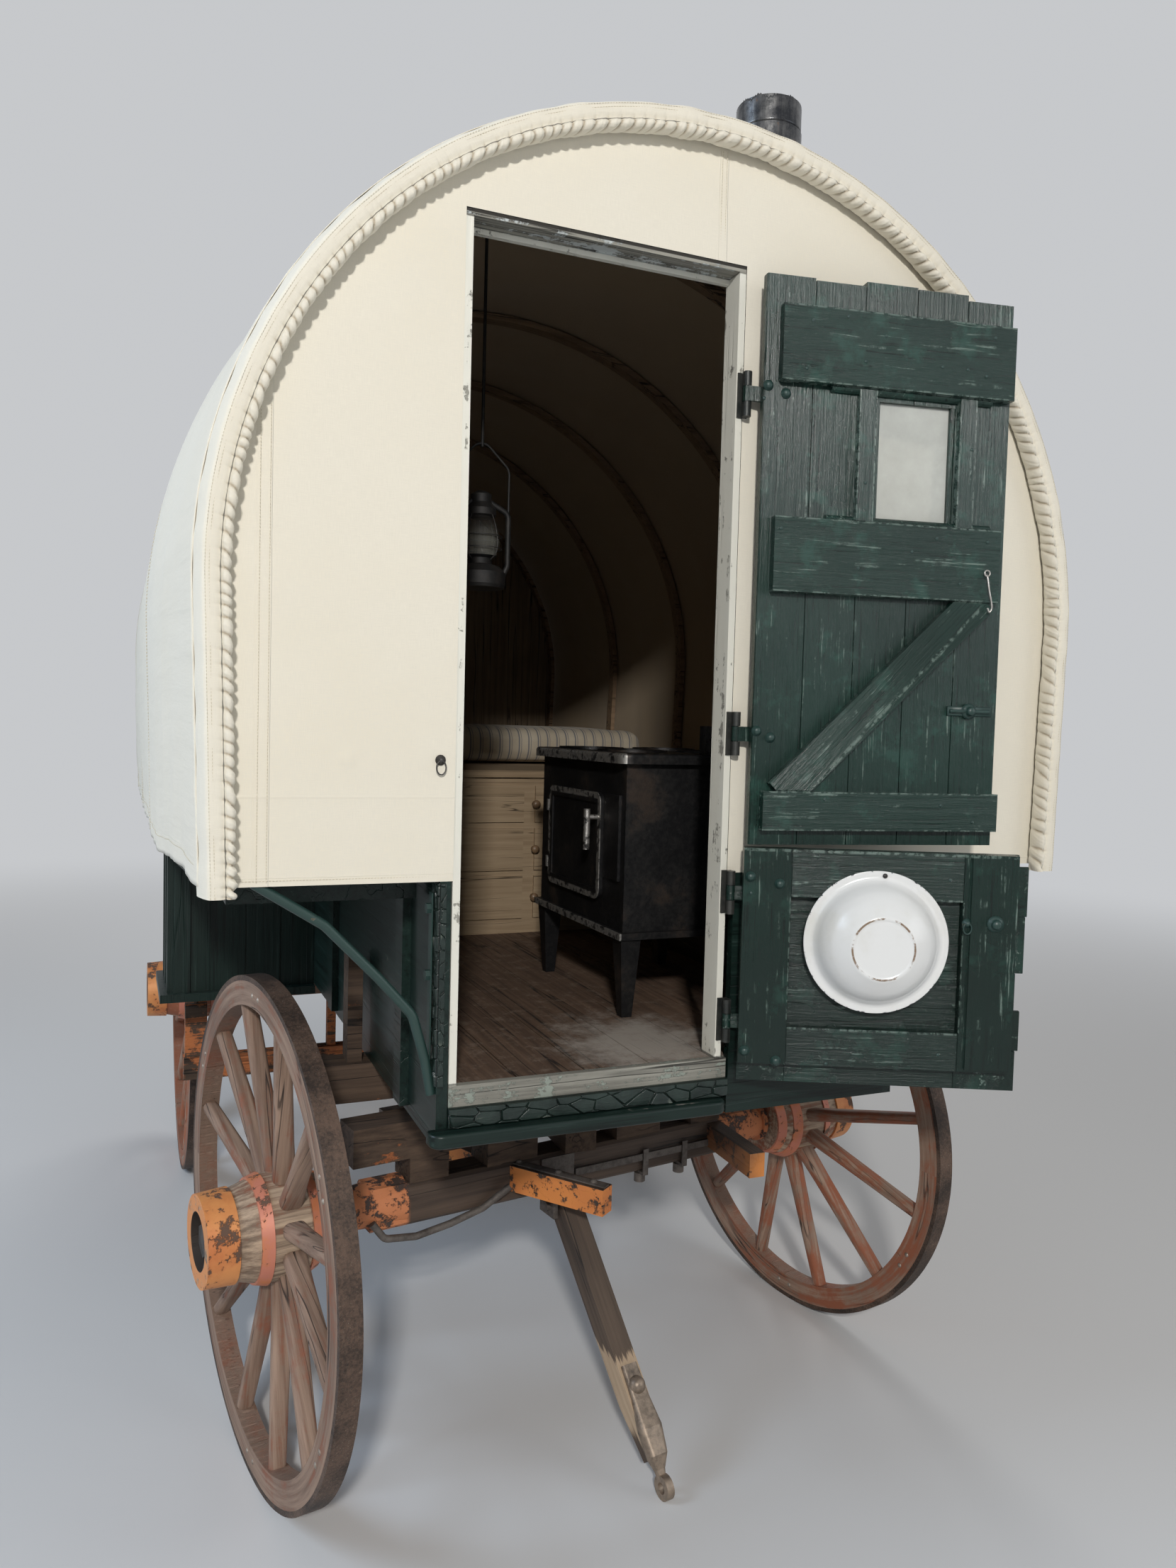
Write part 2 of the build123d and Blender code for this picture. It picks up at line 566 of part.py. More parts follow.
# Front hounds: two level timbers let into the axle, spread behind it under the reach and joined
# there by a sway bar; the left one runs forward beside the tongue and the right one stands apart
king_hole = tube(0, 0, 400, KING_BOLT_R + FIT, 500, "z")
hounds = beam((-222, 48, HOUND_Z), (-57, -271, HOUND_Z), HOUND_WIDTH, HOUND_HEIGHT)
hounds += beam((-310, 440, HOUND_Z), (-214, 30, HOUND_Z), HOUND_WIDTH, HOUND_HEIGHT)
hounds += beam((400, 440, HOUND_Z), (448, -50, HOUND_Z), HOUND_WIDTH, HOUND_HEIGHT)
hounds += beam((448, -30, HOUND_Z), (402, -280, HOUND_Z), HOUND_WIDTH, HOUND_HEIGHT)
hounds += block(-345, 430, 395, 450, 590, 616)
front_bed = axle(FRONT_HALF_TRACK, FRONT_R, 560) - king_hole
parts["front_hounds"] = gear(hounds)
parts["front_axle"] = gear(front_bed - hounds)
parts["rear_axle"] = Pos(0, REAR_Y, 0) * axle(REAR_HALF_TRACK, REAR_R, 600)

# The sand board over the front axle, on blocks that leave a slot for the reach
sand_board = block(-605, 605, -TIMBER_HALF, TIMBER_HALF, SAND_BOARD_Z0, SAND_BOARD_Z1)
for low_x, high_x in ((-465, -365), (-260, -120), (120, 260), (365, 465)):
    sand_board += block(low_x, high_x, -TIMBER_HALF, TIMBER_HALF, AXLE_BED_TOP, SAND_BOARD_Z0)
parts["sand_board"] = gear(sand_board - king_hole)

# The king bolt with the bolster's plate, and the wear plate that it turns on
king_bolt = tube(0, KING_Y, 480, KING_BOLT_R, 398, "z") + tube(0, KING_Y, 472, 24, 20, "z")
king_bolt += tube(0, KING_Y, PLATE_SPLIT_Z, 70, BOLSTER_Z0 - PLATE_SPLIT_Z, "z")
parts["king_bolt"] = king_bolt
wear_plate = tube(0, 0, SAND_BOARD_Z1, 70, PLATE_SPLIT_Z - FIT - SAND_BOARD_Z1, "z")
wear_plate += block(-120, 120, -30, 30, SAND_BOARD_Z1, SAND_BOARD_Z1 + 8)
parts["wear_plate"] = gear(wear_plate - king_hole)

# The tongue's hanger irons and bolt on the axle's face
irons = tube(TONGUE_U - 58, TONGUE_V, TONGUE_PIVOT_Z, 12, 116, "x")
for iron_x in (TONGUE_U - 48, TONGUE_U + 36):
    irons += block(iron_x, iron_x + 12, TONGUE_V - 26, -46, TONGUE_PIVOT_Z - 26, TONGUE_PIVOT_Z + 30)
irons += block(TONGUE_U - 48, TONGUE_U + 48, -51, -46, TONGUE_PIVOT_Z - 26, 600)
parts["tongue_irons"] = gear(irons)

# Axle irons: the long bar on the axle's face, its two clips, and the rod from the left hound
# that bends down and out to the skein
axle_irons = block(-10, 456, -54, -46, 540, 558)
for clip_x in (200.0, 330.0):
    axle_irons += block(clip_x, clip_x + 16, -58, -54, 500, 570)
    axle_irons += block(clip_x, clip_x + 16, -58, 46, 499, 507)
    axle_irons += tube(clip_x + 8, -30, 476, 15, 24, "z")
rod_points = (
    # x, y, z
    (-212, -72, 560),
    (-279, -62, 517),
    (-366, -60, 496),
    (-452, -58, 484),
    (-530, -56, 494),
    (-560, -52, 535),
)
hound_rod = bent_rod(rod_points, 8.5, 24) - front_bed - hounds
parts["axle_irons"] = gear(Compound(children=[axle_irons - hounds, hound_rod]))

# The reach: through the slot over the front axle, then rising to the rear one between its hounds
rear_stack = block(-700, 700, REAR_Y - TIMBER_HALF - 1, REAR_Y + TIMBER_HALF + 1, 500, REAR_BED_TOP)
rear_stack += block(-700, 700, REAR_Y - TIMBER_HALF, REAR_Y + TIMBER_HALF, REAR_BOLSTER_Z0, 900)
reach = block(-42, 42, KING_Y - 80, KING_Y + 130, REACH_Z - REACH_HEIGHT / 2, REACH_Z + REACH_HEIGHT / 2)
reach += beam((0, KING_Y + 120, REACH_Z), (0, REAR_Y, REACH_REAR_Z), 84, REACH_HEIGHT)
reach += beam((0, REAR_Y - 160, REACH_REAR_Z), (0, REAR_Y + 330, REACH_REAR_Z), 84, 60)
for side in (-1, 1):
    reach += beam((side * 60, 1690, 700), (side * 290, REAR_Y - 30, REACH_REAR_Z), 45, 56)
    reach += beam((side * 283, REAR_Y - 60, REACH_REAR_Z), (side * 300, REAR_Y + 80, REACH_REAR_Z), 45, 60)
reach = reach - rear_stack - tube(0, KING_Y, 500, KING_BOLT_R + FIT, 300, "z")
parts["reach"] = reach

# Brake gear: a beam ahead of the rear wheels that hangs from the sills, with a block for each tyre
# hung by a rod from the locker
brake = block(-890, 890, 1690, 1740, 530, 600)
for side in (-1, 1):
    shoe = block(side * 820, side * 886, 1700, 1752, 600, 770)
    shoe = chamfer(shoe.edges().filter_by(Axis.X).group_by(Axis.Z)[-1], 12)
    brake += shoe + tube(side * 853, 1722, 768, 7, LOCKER_BOTTOM - LEDGE - 768, "z")
    brake += block(side * 410, side * 438, 1700, 1728, 600, BOX_BOTTOM)
parts["brake_gear"] = brake


def place_wheel(shape, side, steered, half_track, centre_y, radius):
    """Put a wheel drawn about its centre, outer face towards +X, on its end of the axle."""
    turned = shape if side > 0 else Rot(0, 0, 180) * shape
    set_out = Pos(side * half_track, 0, radius) * turned
    return gear(set_out) if steered else Pos(0, centre_y, 0) * set_out


def hub_form(extra):
    """The turned hub as a solid of revolution, its radius grown by a band's thickness."""
    hub_profile = (
        # x along the axle, outwards, and radius
        (-150.0, 88.0),
        (-118.0, 96.0),
        (-76.0, 116.0),
        (4.0, 116.0),
        (70.0, 98.0),
        (140.0, 94.0),
    )
    with BuildSketch(Plane.XZ) as section:
        with BuildLine():
            Polyline((-150, 0), *[(x, r + extra) for x, r in hub_profile], (140, 0), close=True)
        make_face()
    return revolve(section.sketch, Axis.X)


def wheel(radius, spoke_count):
    """A dished wooden wheel: hub, spokes and felloes in one, and apart its tyre and hub bands."""
    rim_r = radius - TYRE_THICK
    inner_r = rim_r - FELLOE_DEPTH
    hub = hub_form(0)
    ring = Rot(0, 90, 0) * (Cylinder(rim_r, TYRE_WIDTH) - Cylinder(inner_r, TYRE_WIDTH + 2))
    for number in range(spoke_count // 2):
        saw_cut = block(-TYRE_WIDTH, TYRE_WIDTH, -1, 1, inner_r - 5, inner_r + 14)
        ring -= Rot(720.0 * number / spoke_count, 0, 0) * saw_cut
    whole = hub + ring
    for number in range(spoke_count):
        root = Plane(origin=(-DISH, 0, 95), z_dir=(0, 0, 1)) * RectangleRounded(54, 36, 15)
        shoulder = Plane(origin=(-DISH * 0.7, 0, 95 + (inner_r - 95) * 0.3)) * RectangleRounded(44, 34, 14)
        tip = Plane(origin=(0, 0, inner_r + 6), z_dir=(0, 0, 1)) * RectangleRounded(36, 30, 12)
        spoke = loft([root, shoulder, tip], ruled=True)
        whole += Rot(360.0 * (number + 0.5) / spoke_count, 0, 0) * spoke
    bore = Rot(0, 90, 0) * Cylinder(SKEIN_R + FIT, 400)
    recess = tube(92, 0, 0, 62, 100, "x")
    whole = whole - bore - recess
    tyre = Rot(0, 90, 0) * (Cylinder(radius, TYRE_WIDTH) - Cylinder(rim_r, TYRE_WIDTH + 2))
    band_rows = (
        # low x, high x, thickness
        (74.0, 140.0, 5.0),
        (6.0, 32.0, 5.0),
        (-104.0, -80.0, 4.0),
        (-150.0, -124.0, 5.0),
    )
    bands = []
    for low, high, thick in band_rows:
        slab = tube(low, 0, 0, 200, high - low, "x")
        bands.append((hub_form(thick) - hub_form(0)) & slab)
    return whole, tyre, Compound(children=bands)


wheel_rows = (
    # name, side, steered, radius, spokes, half track, centre y
    ("front_left", -1, True, FRONT_R, FRONT_SPOKES, FRONT_HALF_TRACK, 0.0),
    ("front_right", 1, True, FRONT_R, FRONT_SPOKES, FRONT_HALF_TRACK, 0.0),
    ("rear_left", -1, False, REAR_R, REAR_SPOKES, REAR_HALF_TRACK, REAR_Y),
    ("rear_right", 1, False, REAR_R, REAR_SPOKES, REAR_HALF_TRACK, REAR_Y),
)
for name, side, steered, radius, spokes, half_track, centre_y in wheel_rows:
    wood, tyre, bands = wheel(radius, spokes)
    for suffix, piece in (("wheel", wood), ("tyre", tyre), ("hub_bands", bands)):
        parts[name + "_" + suffix] = place_wheel(piece, side, steered, half_track, centre_y, radius)

# The tongue: a short stub of a pole that slopes from the axle to the floor, and its iron fitting,
# a strap on top with a round boss, which swells and ends in an eye
tongue_root = Vector(TONGUE_U, TONGUE_V, TONGUE_PIVOT_Z)
tongue_tip = Vector(TONGUE_U, TONGUE_TIP_V, TONGUE_TIP_Z)
tongue_run = tongue_tip - tongue_root
tongue_plane = Plane(origin=tongue_root, x_dir=(1, 0, 0), z_dir=tongue_run)
tongue_sections = (
    # distance from the pin, width, depth
    (0.0, TONGUE_SIZE, TONGUE_SIZE),
    (470.0, TONGUE_SIZE - 4, TONGUE_SIZE - 6),
    (592.0, 40.0, 30.0),
)
pole = loft([tongue_plane.offset(d) * Rectangle(w, h) for d, w, h in tongue_sections], ruled=True)
root_eye = Pos(*tongue_root) * Rot(0, 90, 0) * Cylinder(TONGUE_SIZE / 2 - 1, TONGUE_SIZE - 3)
pole = pole + root_eye - tube(TONGUE_U - 60, TONGUE_V, TONGUE_PIVOT_Z, 12 + FIT, 120, "x")
cap_sections = (
    # distance from the pin, height of its middle over the pole's middle, width, thickness
    (400.0, 29.0, 40.0, 16.0),
    (470.0, 29.0, 44.0, 18.0),
    (535.0, 25.0, 58.0, 34.0),
    (590.0, 16.0, 48.0, 34.0),
    (616.0, 6.0, 24.0, 22.0),
    (636.0, 0.0, 18.0, 18.0),
)
cap_faces = []
for distance, rise, width, thick in cap_sections:
    cap_section = RectangleRounded(width, thick, thick / 2.6)
    cap_faces.append(tongue_plane.offset(distance) * Pos(0, rise, 0) * cap_section)
cap = loft(cap_faces, ruled=True)
cap += tongue_plane.location * Pos(0, 34, 446) * Sphere(20)
cap += Pos(*tongue_tip) * Rot(0, 90, 0) * Cylinder(TONGUE_TIP_Z, 18)
cap = cap - pole - tube(TONGUE_U - 60, TONGUE_TIP_V, TONGUE_TIP_Z, 12, 120, "x")
parts["tongue"] = gear(pole)
parts["tongue_cap"] = gear(cap)


def open_leaf(shape, degrees):
    """Place a door leaf drawn about its hinge pin, shut along -X, at its open angle."""
    return Pos(HINGE_X, HINGE_Y, 0) * Rot(0, 0, degrees) * shape


def strap(face_y, low_z):
    """The moving half of a hinge: a plate on the leaf's outer face and the middle knuckle."""
    third = HINGE_LENGTH / 3
    plate = block(-96, -22, face_y - 5, face_y, low_z + third, low_z + 2 * third)
    link_y = min(max(face_y - 5, -7), 3)
    plate += block(-30, -2, link_y, max(face_y - 3, link_y + 5), low_z + third, low_z + 2 * third)
    knuckle = tube(0, 0, low_z + third, KNUCKLE_R, third, "z")
    return plate + knuckle - tube(0, 0, low_z, HINGE_PIN_R + FIT, HINGE_LENGTH, "z")


leaf_x0 = -LEAF_GAP - LEAF_WIDTH
leaf_x1 = -LEAF_GAP
board_y1 = LEAF_OUTER + LEAF_BOARD
batten_y1 = board_y1 + BATTEN

# Upper leaf: upright boards with a ragged top, a window, three battens and a diagonal brace inside
upper_boards = (
    # far edge and near edge as shares of the leaf's width, missing length at the top
    (0.0, 0.19, 14.0),
    (0.19, 0.40, 3.0),
    (0.40, 0.61, 0.0),
    (0.61, 0.81, 9.0),
    (0.81, 1.0, 5.0),
)
upper_leaf = block(leaf_x0, leaf_x1, LEAF_OUTER, board_y1, UPPER_BOTTOM, UPPER_TOP)
for far_share, near_share, lost in upper_boards:
    far_x = leaf_x0 + far_share * LEAF_WIDTH
    near_x = leaf_x0 + near_share * LEAF_WIDTH
    upper_leaf -= block(far_x - 1, near_x + 1, 0, 100, UPPER_TOP - lost, UPPER_TOP + 10)
    for groove_y in (LEAF_OUTER, board_y1):
        upper_leaf -= block(near_x - 1, near_x + 1, groove_y - 4, groove_y + 4, UPPER_BOTTOM - 1, UPPER_TOP + 1)
batten_rows = (
    # low z, high z, gap at the hinge end, gap at the free end
    (2395.0, 2545.0, 30.0, 3.0),
    (1975.0, 2125.0, 25.0, 20.0),
    (1490.0, 1570.0, 20.0, 0.0),
)
for low, high, hinge_gap, free_gap in batten_rows:
    upper_leaf += block(leaf_x0 + free_gap, leaf_x1 - hinge_gap, board_y1, batten_y1, low, high)
upper_leaf += beam((leaf_x1 - 60, board_y1 + 10, 1560), (leaf_x0 + 55, board_y1 + 10, 1985), 20, 75)
for stile_x in (PANE_X[0] - 42, PANE_X[1] + 4):
    upper_leaf += block(stile_x, stile_x + 38, board_y1, board_y1 + 14, batten_rows[1][1], batten_rows[0][0])
upper_leaf -= block(*PANE_X, 0, 100, *PANE_Z)
for hinge_z in UPPER_HINGE_Z:
    upper_leaf += strap(LEAF_OUTER, hinge_z)
parts["door_upper"] = open_leaf(upper_leaf, UPPER_OPEN_DEG)
pane = block(*PANE_X, LEAF_OUTER + 9, LEAF_OUTER + 12, *PANE_Z)
parts["door_glass"] = open_leaf(pane, UPPER_OPEN_DEG)

# Lower leaf: a skin of level boards with broken ends, and stiles and rails on its inner face
skin_boards = (
    # low and high edges as shares of the leaf's height, how far the broken end stands out
    (0.0, 0.17, 18.0),
    (0.17, 0.34, 24.0),
    (0.34, 0.50, 12.0),
    (0.50, 0.74, 27.0),
    (0.74, 0.95, 30.0),
    (0.95, 1.0, 10.0),
)
lower_height = LOWER_TOP - LOWER_BOTTOM
lower_leaf = block(leaf_x0, leaf_x1, 0, LEAF_OUTER, LOWER_BOTTOM, LOWER_TOP)
for low_share, high_share, stands_out in skin_boards:
    low = LOWER_BOTTOM + low_share * lower_height
    high = LOWER_BOTTOM + high_share * lower_height
    lower_leaf += block(leaf_x0 - stands_out, leaf_x0, 0, LEAF_OUTER, low, high)
lower_leaf += block(leaf_x0, leaf_x1, LEAF_OUTER, board_y1, 1007, LOWER_TOP)
lower_leaf += block(leaf_x0 - 2, leaf_x0 + 90, board_y1, board_y1 + 5, 1012, LOWER_TOP)
lower_leaf -= block(*RECESS_X, LEAF_OUTER, 100, *RECESS_Z)
for low_share, high_share, stands_out in skin_boards[1:]:
    seam_z = LOWER_BOTTOM + low_share * lower_height
    for seam_y in (0, LEAF_OUTER):
        lower_leaf -= block(leaf_x0 - 40, leaf_x1 + 1, seam_y - 2.5, seam_y + 2.5, seam_z - 1, seam_z + 1)
for hinge_z in LOWER_HINGE_Z:
    lower_leaf += strap(0, hinge_z)
parts["door_lower"] = open_leaf(lower_leaf, LOWER_OPEN_DEG)

# The enamel basin that hangs on the lower leaf's inner face
basin_outside = (
    # radius, height over the rim
    (0.0, 80.0),
    (62.0, 80.0),
    (70.0, 76.0),
    (112.0, 40.0),
    (128.0, 6.0),
    (146.0, 2.0),
)
basin_inside = (
    # radius, height over the rim
    (146.0, 0.0),
    (126.0, 0.0),
    (108.0, 38.0),
    (68.0, 73.0),
    (60.0, 77.0),
    (0.0, 77.0),
)
with BuildSketch(Plane.XZ) as basin_section:
    with BuildLine():
        Polyline(*basin_outside, *basin_inside, close=True)
    make_face()
basin = revolve(basin_section.sketch, Axis.Z)
basin = Pos(BASIN_X, board_y1, BASIN_Z) * Rot(-90, 0, 0) * basin
parts["basin"] = open_leaf(basin, LOWER_OPEN_DEG)

# The fixed halves of the hinges, with their pins, on the right jamb
hinges = []
for hinge_z in (*UPPER_HINGE_Z, *LOWER_HINGE_Z):
    fixed = block(DOOR_RIGHT + 2, 96, JAMB_FRONT_Y - 4, JAMB_FRONT_Y, hinge_z, hinge_z + HINGE_LENGTH)
    fixed += tube(HINGE_X, HINGE_Y, hinge_z, HINGE_PIN_R, HINGE_LENGTH, "z")
    for knuckle_z in (hinge_z, hinge_z + 61):
        fixed += tube(HINGE_X, HINGE_Y, knuckle_z, KNUCKLE_R, 29, "z")
        fixed += block(HINGE_X - 4, HINGE_X + 4, HINGE_Y, JAMB_FRONT_Y - 4, knuckle_z, knuckle_z + 29)
    hinges.append(fixed)
parts["door_hinges"] = Compound(children=hinges)

os.makedirs("parts", exist_ok=True)
for node, shape in parts.items():
    assert shape.volume > 0, node + " came out empty"
    export_step(Pos(0, FRONT_Y, 0) * shape, "parts/" + node + ".step")
    box = shape.bounding_box()
    print(node, len(shape.solids()), [round(v) for v in (*box.min, *box.max)])
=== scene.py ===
import math

import bmesh
import bpy
import numpy as np
from mathutils import Matrix, Vector


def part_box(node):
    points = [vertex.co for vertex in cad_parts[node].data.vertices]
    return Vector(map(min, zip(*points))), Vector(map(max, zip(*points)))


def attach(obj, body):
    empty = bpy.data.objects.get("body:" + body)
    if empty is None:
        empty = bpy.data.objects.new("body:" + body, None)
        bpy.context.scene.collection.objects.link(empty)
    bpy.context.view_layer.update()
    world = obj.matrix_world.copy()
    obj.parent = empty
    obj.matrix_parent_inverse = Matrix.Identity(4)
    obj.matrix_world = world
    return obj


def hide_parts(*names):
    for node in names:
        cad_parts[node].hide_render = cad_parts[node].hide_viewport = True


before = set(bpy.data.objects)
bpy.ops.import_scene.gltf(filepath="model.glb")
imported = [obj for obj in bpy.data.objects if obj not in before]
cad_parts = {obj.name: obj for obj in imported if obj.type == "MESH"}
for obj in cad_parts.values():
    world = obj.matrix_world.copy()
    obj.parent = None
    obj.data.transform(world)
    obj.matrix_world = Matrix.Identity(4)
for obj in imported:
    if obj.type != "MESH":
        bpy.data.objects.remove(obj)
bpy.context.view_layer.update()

# The eye stands at the left of the tongue, a little under the doorway's middle height, and looks
# past the left front wheel into the cabin.
EYE = Vector((-1.0864, -3.5577, 1.6922))
YAW, PITCH, ROLL = (math.radians(a) for a in (22.9985, -2.9783, 1.5263))
ahead = Vector((math.sin(YAW) * math.cos(PITCH), math.cos(YAW) * math.cos(PITCH), math.sin(PITCH)))
level = Vector((math.cos(YAW), -math.sin(YAW), 0))
above = level.cross(ahead)
across = level * math.cos(ROLL) + above * math.sin(ROLL)
upward = above * math.cos(ROLL) - level * math.sin(ROLL)
lens = bpy.data.cameras.new("eye")
lens.sensor_width = 36
lens.lens = 25.453
lens.clip_end = 200
eye = bpy.data.objects.new("eye", lens)
eye.matrix_world = Matrix((across, upward, -ahead)).transposed().to_4x4()
eye.location = EYE
bpy.context.scene.collection.objects.link(eye)
bpy.context.scene.camera = eye
bpy.context.scene.view_settings.view_transform = "Standard"


class Field:
    """A value or colour that changes over a surface. Arithmetic on it adds Math nodes."""

    def __init__(self, finish, socket):
        self.finish = finish
        self.socket = socket

    def __add__(self, other):
        return self.finish.maths("ADD", self, other)

    def __sub__(self, other):
        return self.finish.maths("SUBTRACT", self, other)

    def __rsub__(self, other):
        return self.finish.maths("SUBTRACT", other, self)

    def __mul__(self, other):
        return self.finish.maths("MULTIPLY", self, other)

    def __truediv__(self, other):
        return self.finish.maths("DIVIDE", self, other)

    def least(self, other):
        return self.finish.maths("MINIMUM", self, other)

    def most(self, other):
        return self.finish.maths("MAXIMUM", self, other)

    def between(self, low, high):
        """0 at low, 1 at high, smooth and held at both ends."""
        return self.finish.node("ShaderNodeMapRange", {"interpolation_type": "SMOOTHSTEP"},
                                {"Value": self, "From Min": low, "From Max": high})

    def __abs__(self):
        return self.finish.maths("ABSOLUTE", self)


class Finish:
    """A material. Its nodes come from one method, and set() joins them to its shader."""

    def __init__(self, name):
        self.material = bpy.data.materials.new(name)
        self.material.use_nodes = True
        self.tree = self.material.node_tree
        self.shader = self.tree.nodes["Principled BSDF"]
        self.place = self.node("ShaderNodeTexCoord", out="Object")

    def node(self, kind, settings=None, inputs=None, out=0):
        """Add a node of a kind, with its settings first, then its inputs' values or links."""
        made = self.tree.nodes.new(kind)
        for key, value in (settings or {}).items():
            setattr(made, key, value)
        for key, value in (inputs or {}).items():
            self.plug(made.inputs[key], value)
        return Field(self, made.outputs[out])

    def maths(self, operation, first, second=0.0):
        return self.node("ShaderNodeMath", {"operation": operation}, {0: first, 1: second})

    def plug(self, socket, value):
        if isinstance(value, Field):
            self.tree.links.new(value.socket, socket)
        else:
            socket.default_value = value

    def set(self, **sockets):
        for key, value in sockets.items():
            self.plug(self.shader.inputs[key.replace("_", " ")], value)
        return self

    def stretched(self, scale, turn=(0, 0, 0), centre=(0, 0, 0)):
        """The point on the piece from a centre, turned, then scaled along each axis."""
        out = self.node("ShaderNodeVectorMath", {"operation": "SUBTRACT"}, {0: self.place, 1: centre})
        if any(turn):
            out = self.node("ShaderNodeVectorRotate", {"rotation_type": "EULER_XYZ"},
                            {"Vector": out, "Rotation": turn})
        return self.scaled(out, scale)

    def turned(self, turn, centre):
        """The point on the piece from a centre, turned about z."""
        return self.stretched((1, 1, 1), (0, 0, turn), centre)

    def scaled(self, where, scale):
        return self.node("ShaderNodeVectorMath", {"operation": "MULTIPLY"}, {0: where, 1: scale})

    def noise(self, where, scale=1.0, detail=4.0, roughness=0.55):
        return self.node("ShaderNodeTexNoise", None, {"Vector": where, "Scale": scale, "Detail": detail,
                                                      "Roughness": roughness})

    def part(self, where, axis):
        """One coordinate of a point: 0 is x, 1 is y and 2 is z."""
        return self.node("ShaderNodeSeparateXYZ", None, {0: where}, out=axis)

    def parts(self, where):
        return [self.part(where, axis) for axis in range(3)]

    def point(self, x, y, z):
        return self.node("ShaderNodeCombineXYZ", None, {0: x, 1: y, 2: z})

    def blend(self, share, first, second):
        """A colour that goes from the first to the second as share goes from 0 to 1."""
        return self.node("ShaderNodeMix", {"data_type": "RGBA"},
                         {0: share, 6: rgba(first), 7: rgba(second)}, out=2)

    def pick(self, share, first, second):
        """A point that goes from the first to the second as share goes from 0 to 1."""
        return self.node("ShaderNodeMix", {"data_type": "VECTOR"}, {0: share, 4: first, 5: second}, out=1)

    def fed(self, key):
        """What already feeds a socket of the shader."""
        return Field(self, self.shader.inputs[key].links[0].from_socket)

    def relief(self, height, depth):
        """Bump of a given depth in metres from a height of 0 to 1."""
        bump = self.node("ShaderNodeBump", None, {"Height": height, "Distance": depth})
        return self.set(Normal=bump)

    def on(self, *nodes):
        """Give the finish to CAD nodes."""
        for name in nodes:
            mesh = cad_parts[name].data
            mesh.materials.clear()
            mesh.materials.append(self.material)
        return self


def rgba(colour):
    return colour if isinstance(colour, Field) else (*colour, 1.0)


def shade(colour, share, lift=0.0):
    """A darker or a paler colour: each part times a share, plus a lift."""
    return tuple(c * share + lift for c in colour)


# The floor is plain and pale, and meets a pale sky without a line. Four lamps stand round the
# wagon, the strongest at the front left, where the canvas is brightest.
SKY_SEEN = 0.60
SKY_LIGHT = 0.26
floor_finish = Finish("pale_floor")
floor_finish.set(Base_Color=(0.66, 0.655, 0.65, 1.0), Roughness=0.9)
far_off = floor_finish.node("ShaderNodeVectorMath", {"operation": "LENGTH"}, {0: floor_finish.place}, out=1)
camera_ray = floor_finish.node("ShaderNodeLightPath")
haze = floor_finish.node("ShaderNodeEmission", None, {"Color": (0.95, 0.97, 1.0, 1.0), "Strength": SKY_SEEN})
fading = floor_finish.node("ShaderNodeMixShader", None, {0: far_off.between(3.0, 11.0) * camera_ray})
floor_finish.tree.links.new(floor_finish.shader.outputs[0], fading.socket.node.inputs[1])
floor_finish.tree.links.new(haze.socket, fading.socket.node.inputs[2])
floor_finish.tree.links.new(fading.socket, floor_finish.tree.nodes["Material Output"].inputs["Surface"])
floor_mesh = bpy.data.meshes.new("floor")
FLOOR_HALF = 40.0
floor_mesh.from_pydata([(x, y, 0.0) for x, y in ((-1, -1), (1, -1), (1, 1), (-1, 1))], [], [(0, 1, 2, 3)])
floor_mesh.transform(Matrix.Diagonal((FLOOR_HALF, FLOOR_HALF, 1, 1)))
floor_mesh.materials.append(floor_finish.material)
floor = bpy.data.objects.new("floor", floor_mesh)
bpy.context.scene.collection.objects.link(floor)

sky = bpy.data.worlds.new("studio")
sky.use_nodes = True
sky_nodes = sky.node_tree.nodes
sky_light = sky_nodes["Background"]
sky_light.inputs["Color"].default_value = (0.95, 0.97, 1.0, 1.0)
ray = sky_nodes.new("ShaderNodeLightPath")
seen = ray.outputs["Is Camera Ray"]
for other in ("Is Glossy Ray", "Is Transmission Ray"):
    either = sky_nodes.new("ShaderNodeMath")
    either.operation = "MAXIMUM"
    sky.node_tree.links.new(seen, either.inputs[0])
    sky.node_tree.links.new(ray.outputs[other], either.inputs[1])
    seen = either.outputs[0]
level_of = sky_nodes.new("ShaderNodeMapRange")
level_of.inputs["To Min"].default_value = SKY_LIGHT
level_of.inputs["To Max"].default_value = SKY_SEEN
sky.node_tree.links.new(seen, level_of.inputs["Value"])
sky.node_tree.links.new(level_of.outputs[0], sky_light.inputs["Strength"])
bpy.context.scene.world = sky

lamp_rows = (
    # name, where it stands, what it looks at, width, watts, tint
    ("lamp_front_left", (-2.4, -7.2, 4.3), (0, -1.2, 1.4), 0.42, 290.0, (1.0, 0.975, 0.94)),
    ("lamp_left", (-6.0, -0.8, 4.6), (0, 0.2, 1.9), 2.4, 190.0, (0.64, 0.80, 1.0)),
    ("lamp_front_right", (4.5, -5.5, 3.0), (0, -1.0, 1.2), 3.0, 52.0, (0.9, 0.95, 1.0)),
    ("lamp_back", (2.5, 6.5, 5.0), (0, 1.0, 1.5), 3.0, 150.0, (1.0, 1.0, 1.0)),
)
for name, stands, looks_at, width, watts, tint in lamp_rows:
    light = bpy.data.lights.new(name, "AREA")
    light.size = width
    light.energy = watts
    light.color = tint
    lamp = bpy.data.objects.new(name, light)
    lamp.location = stands
    lamp.rotation_euler = (Vector(looks_at) - Vector(stands)).to_track_quat("-Z", "Y").to_euler()
    bpy.context.scene.collection.objects.link(lamp)


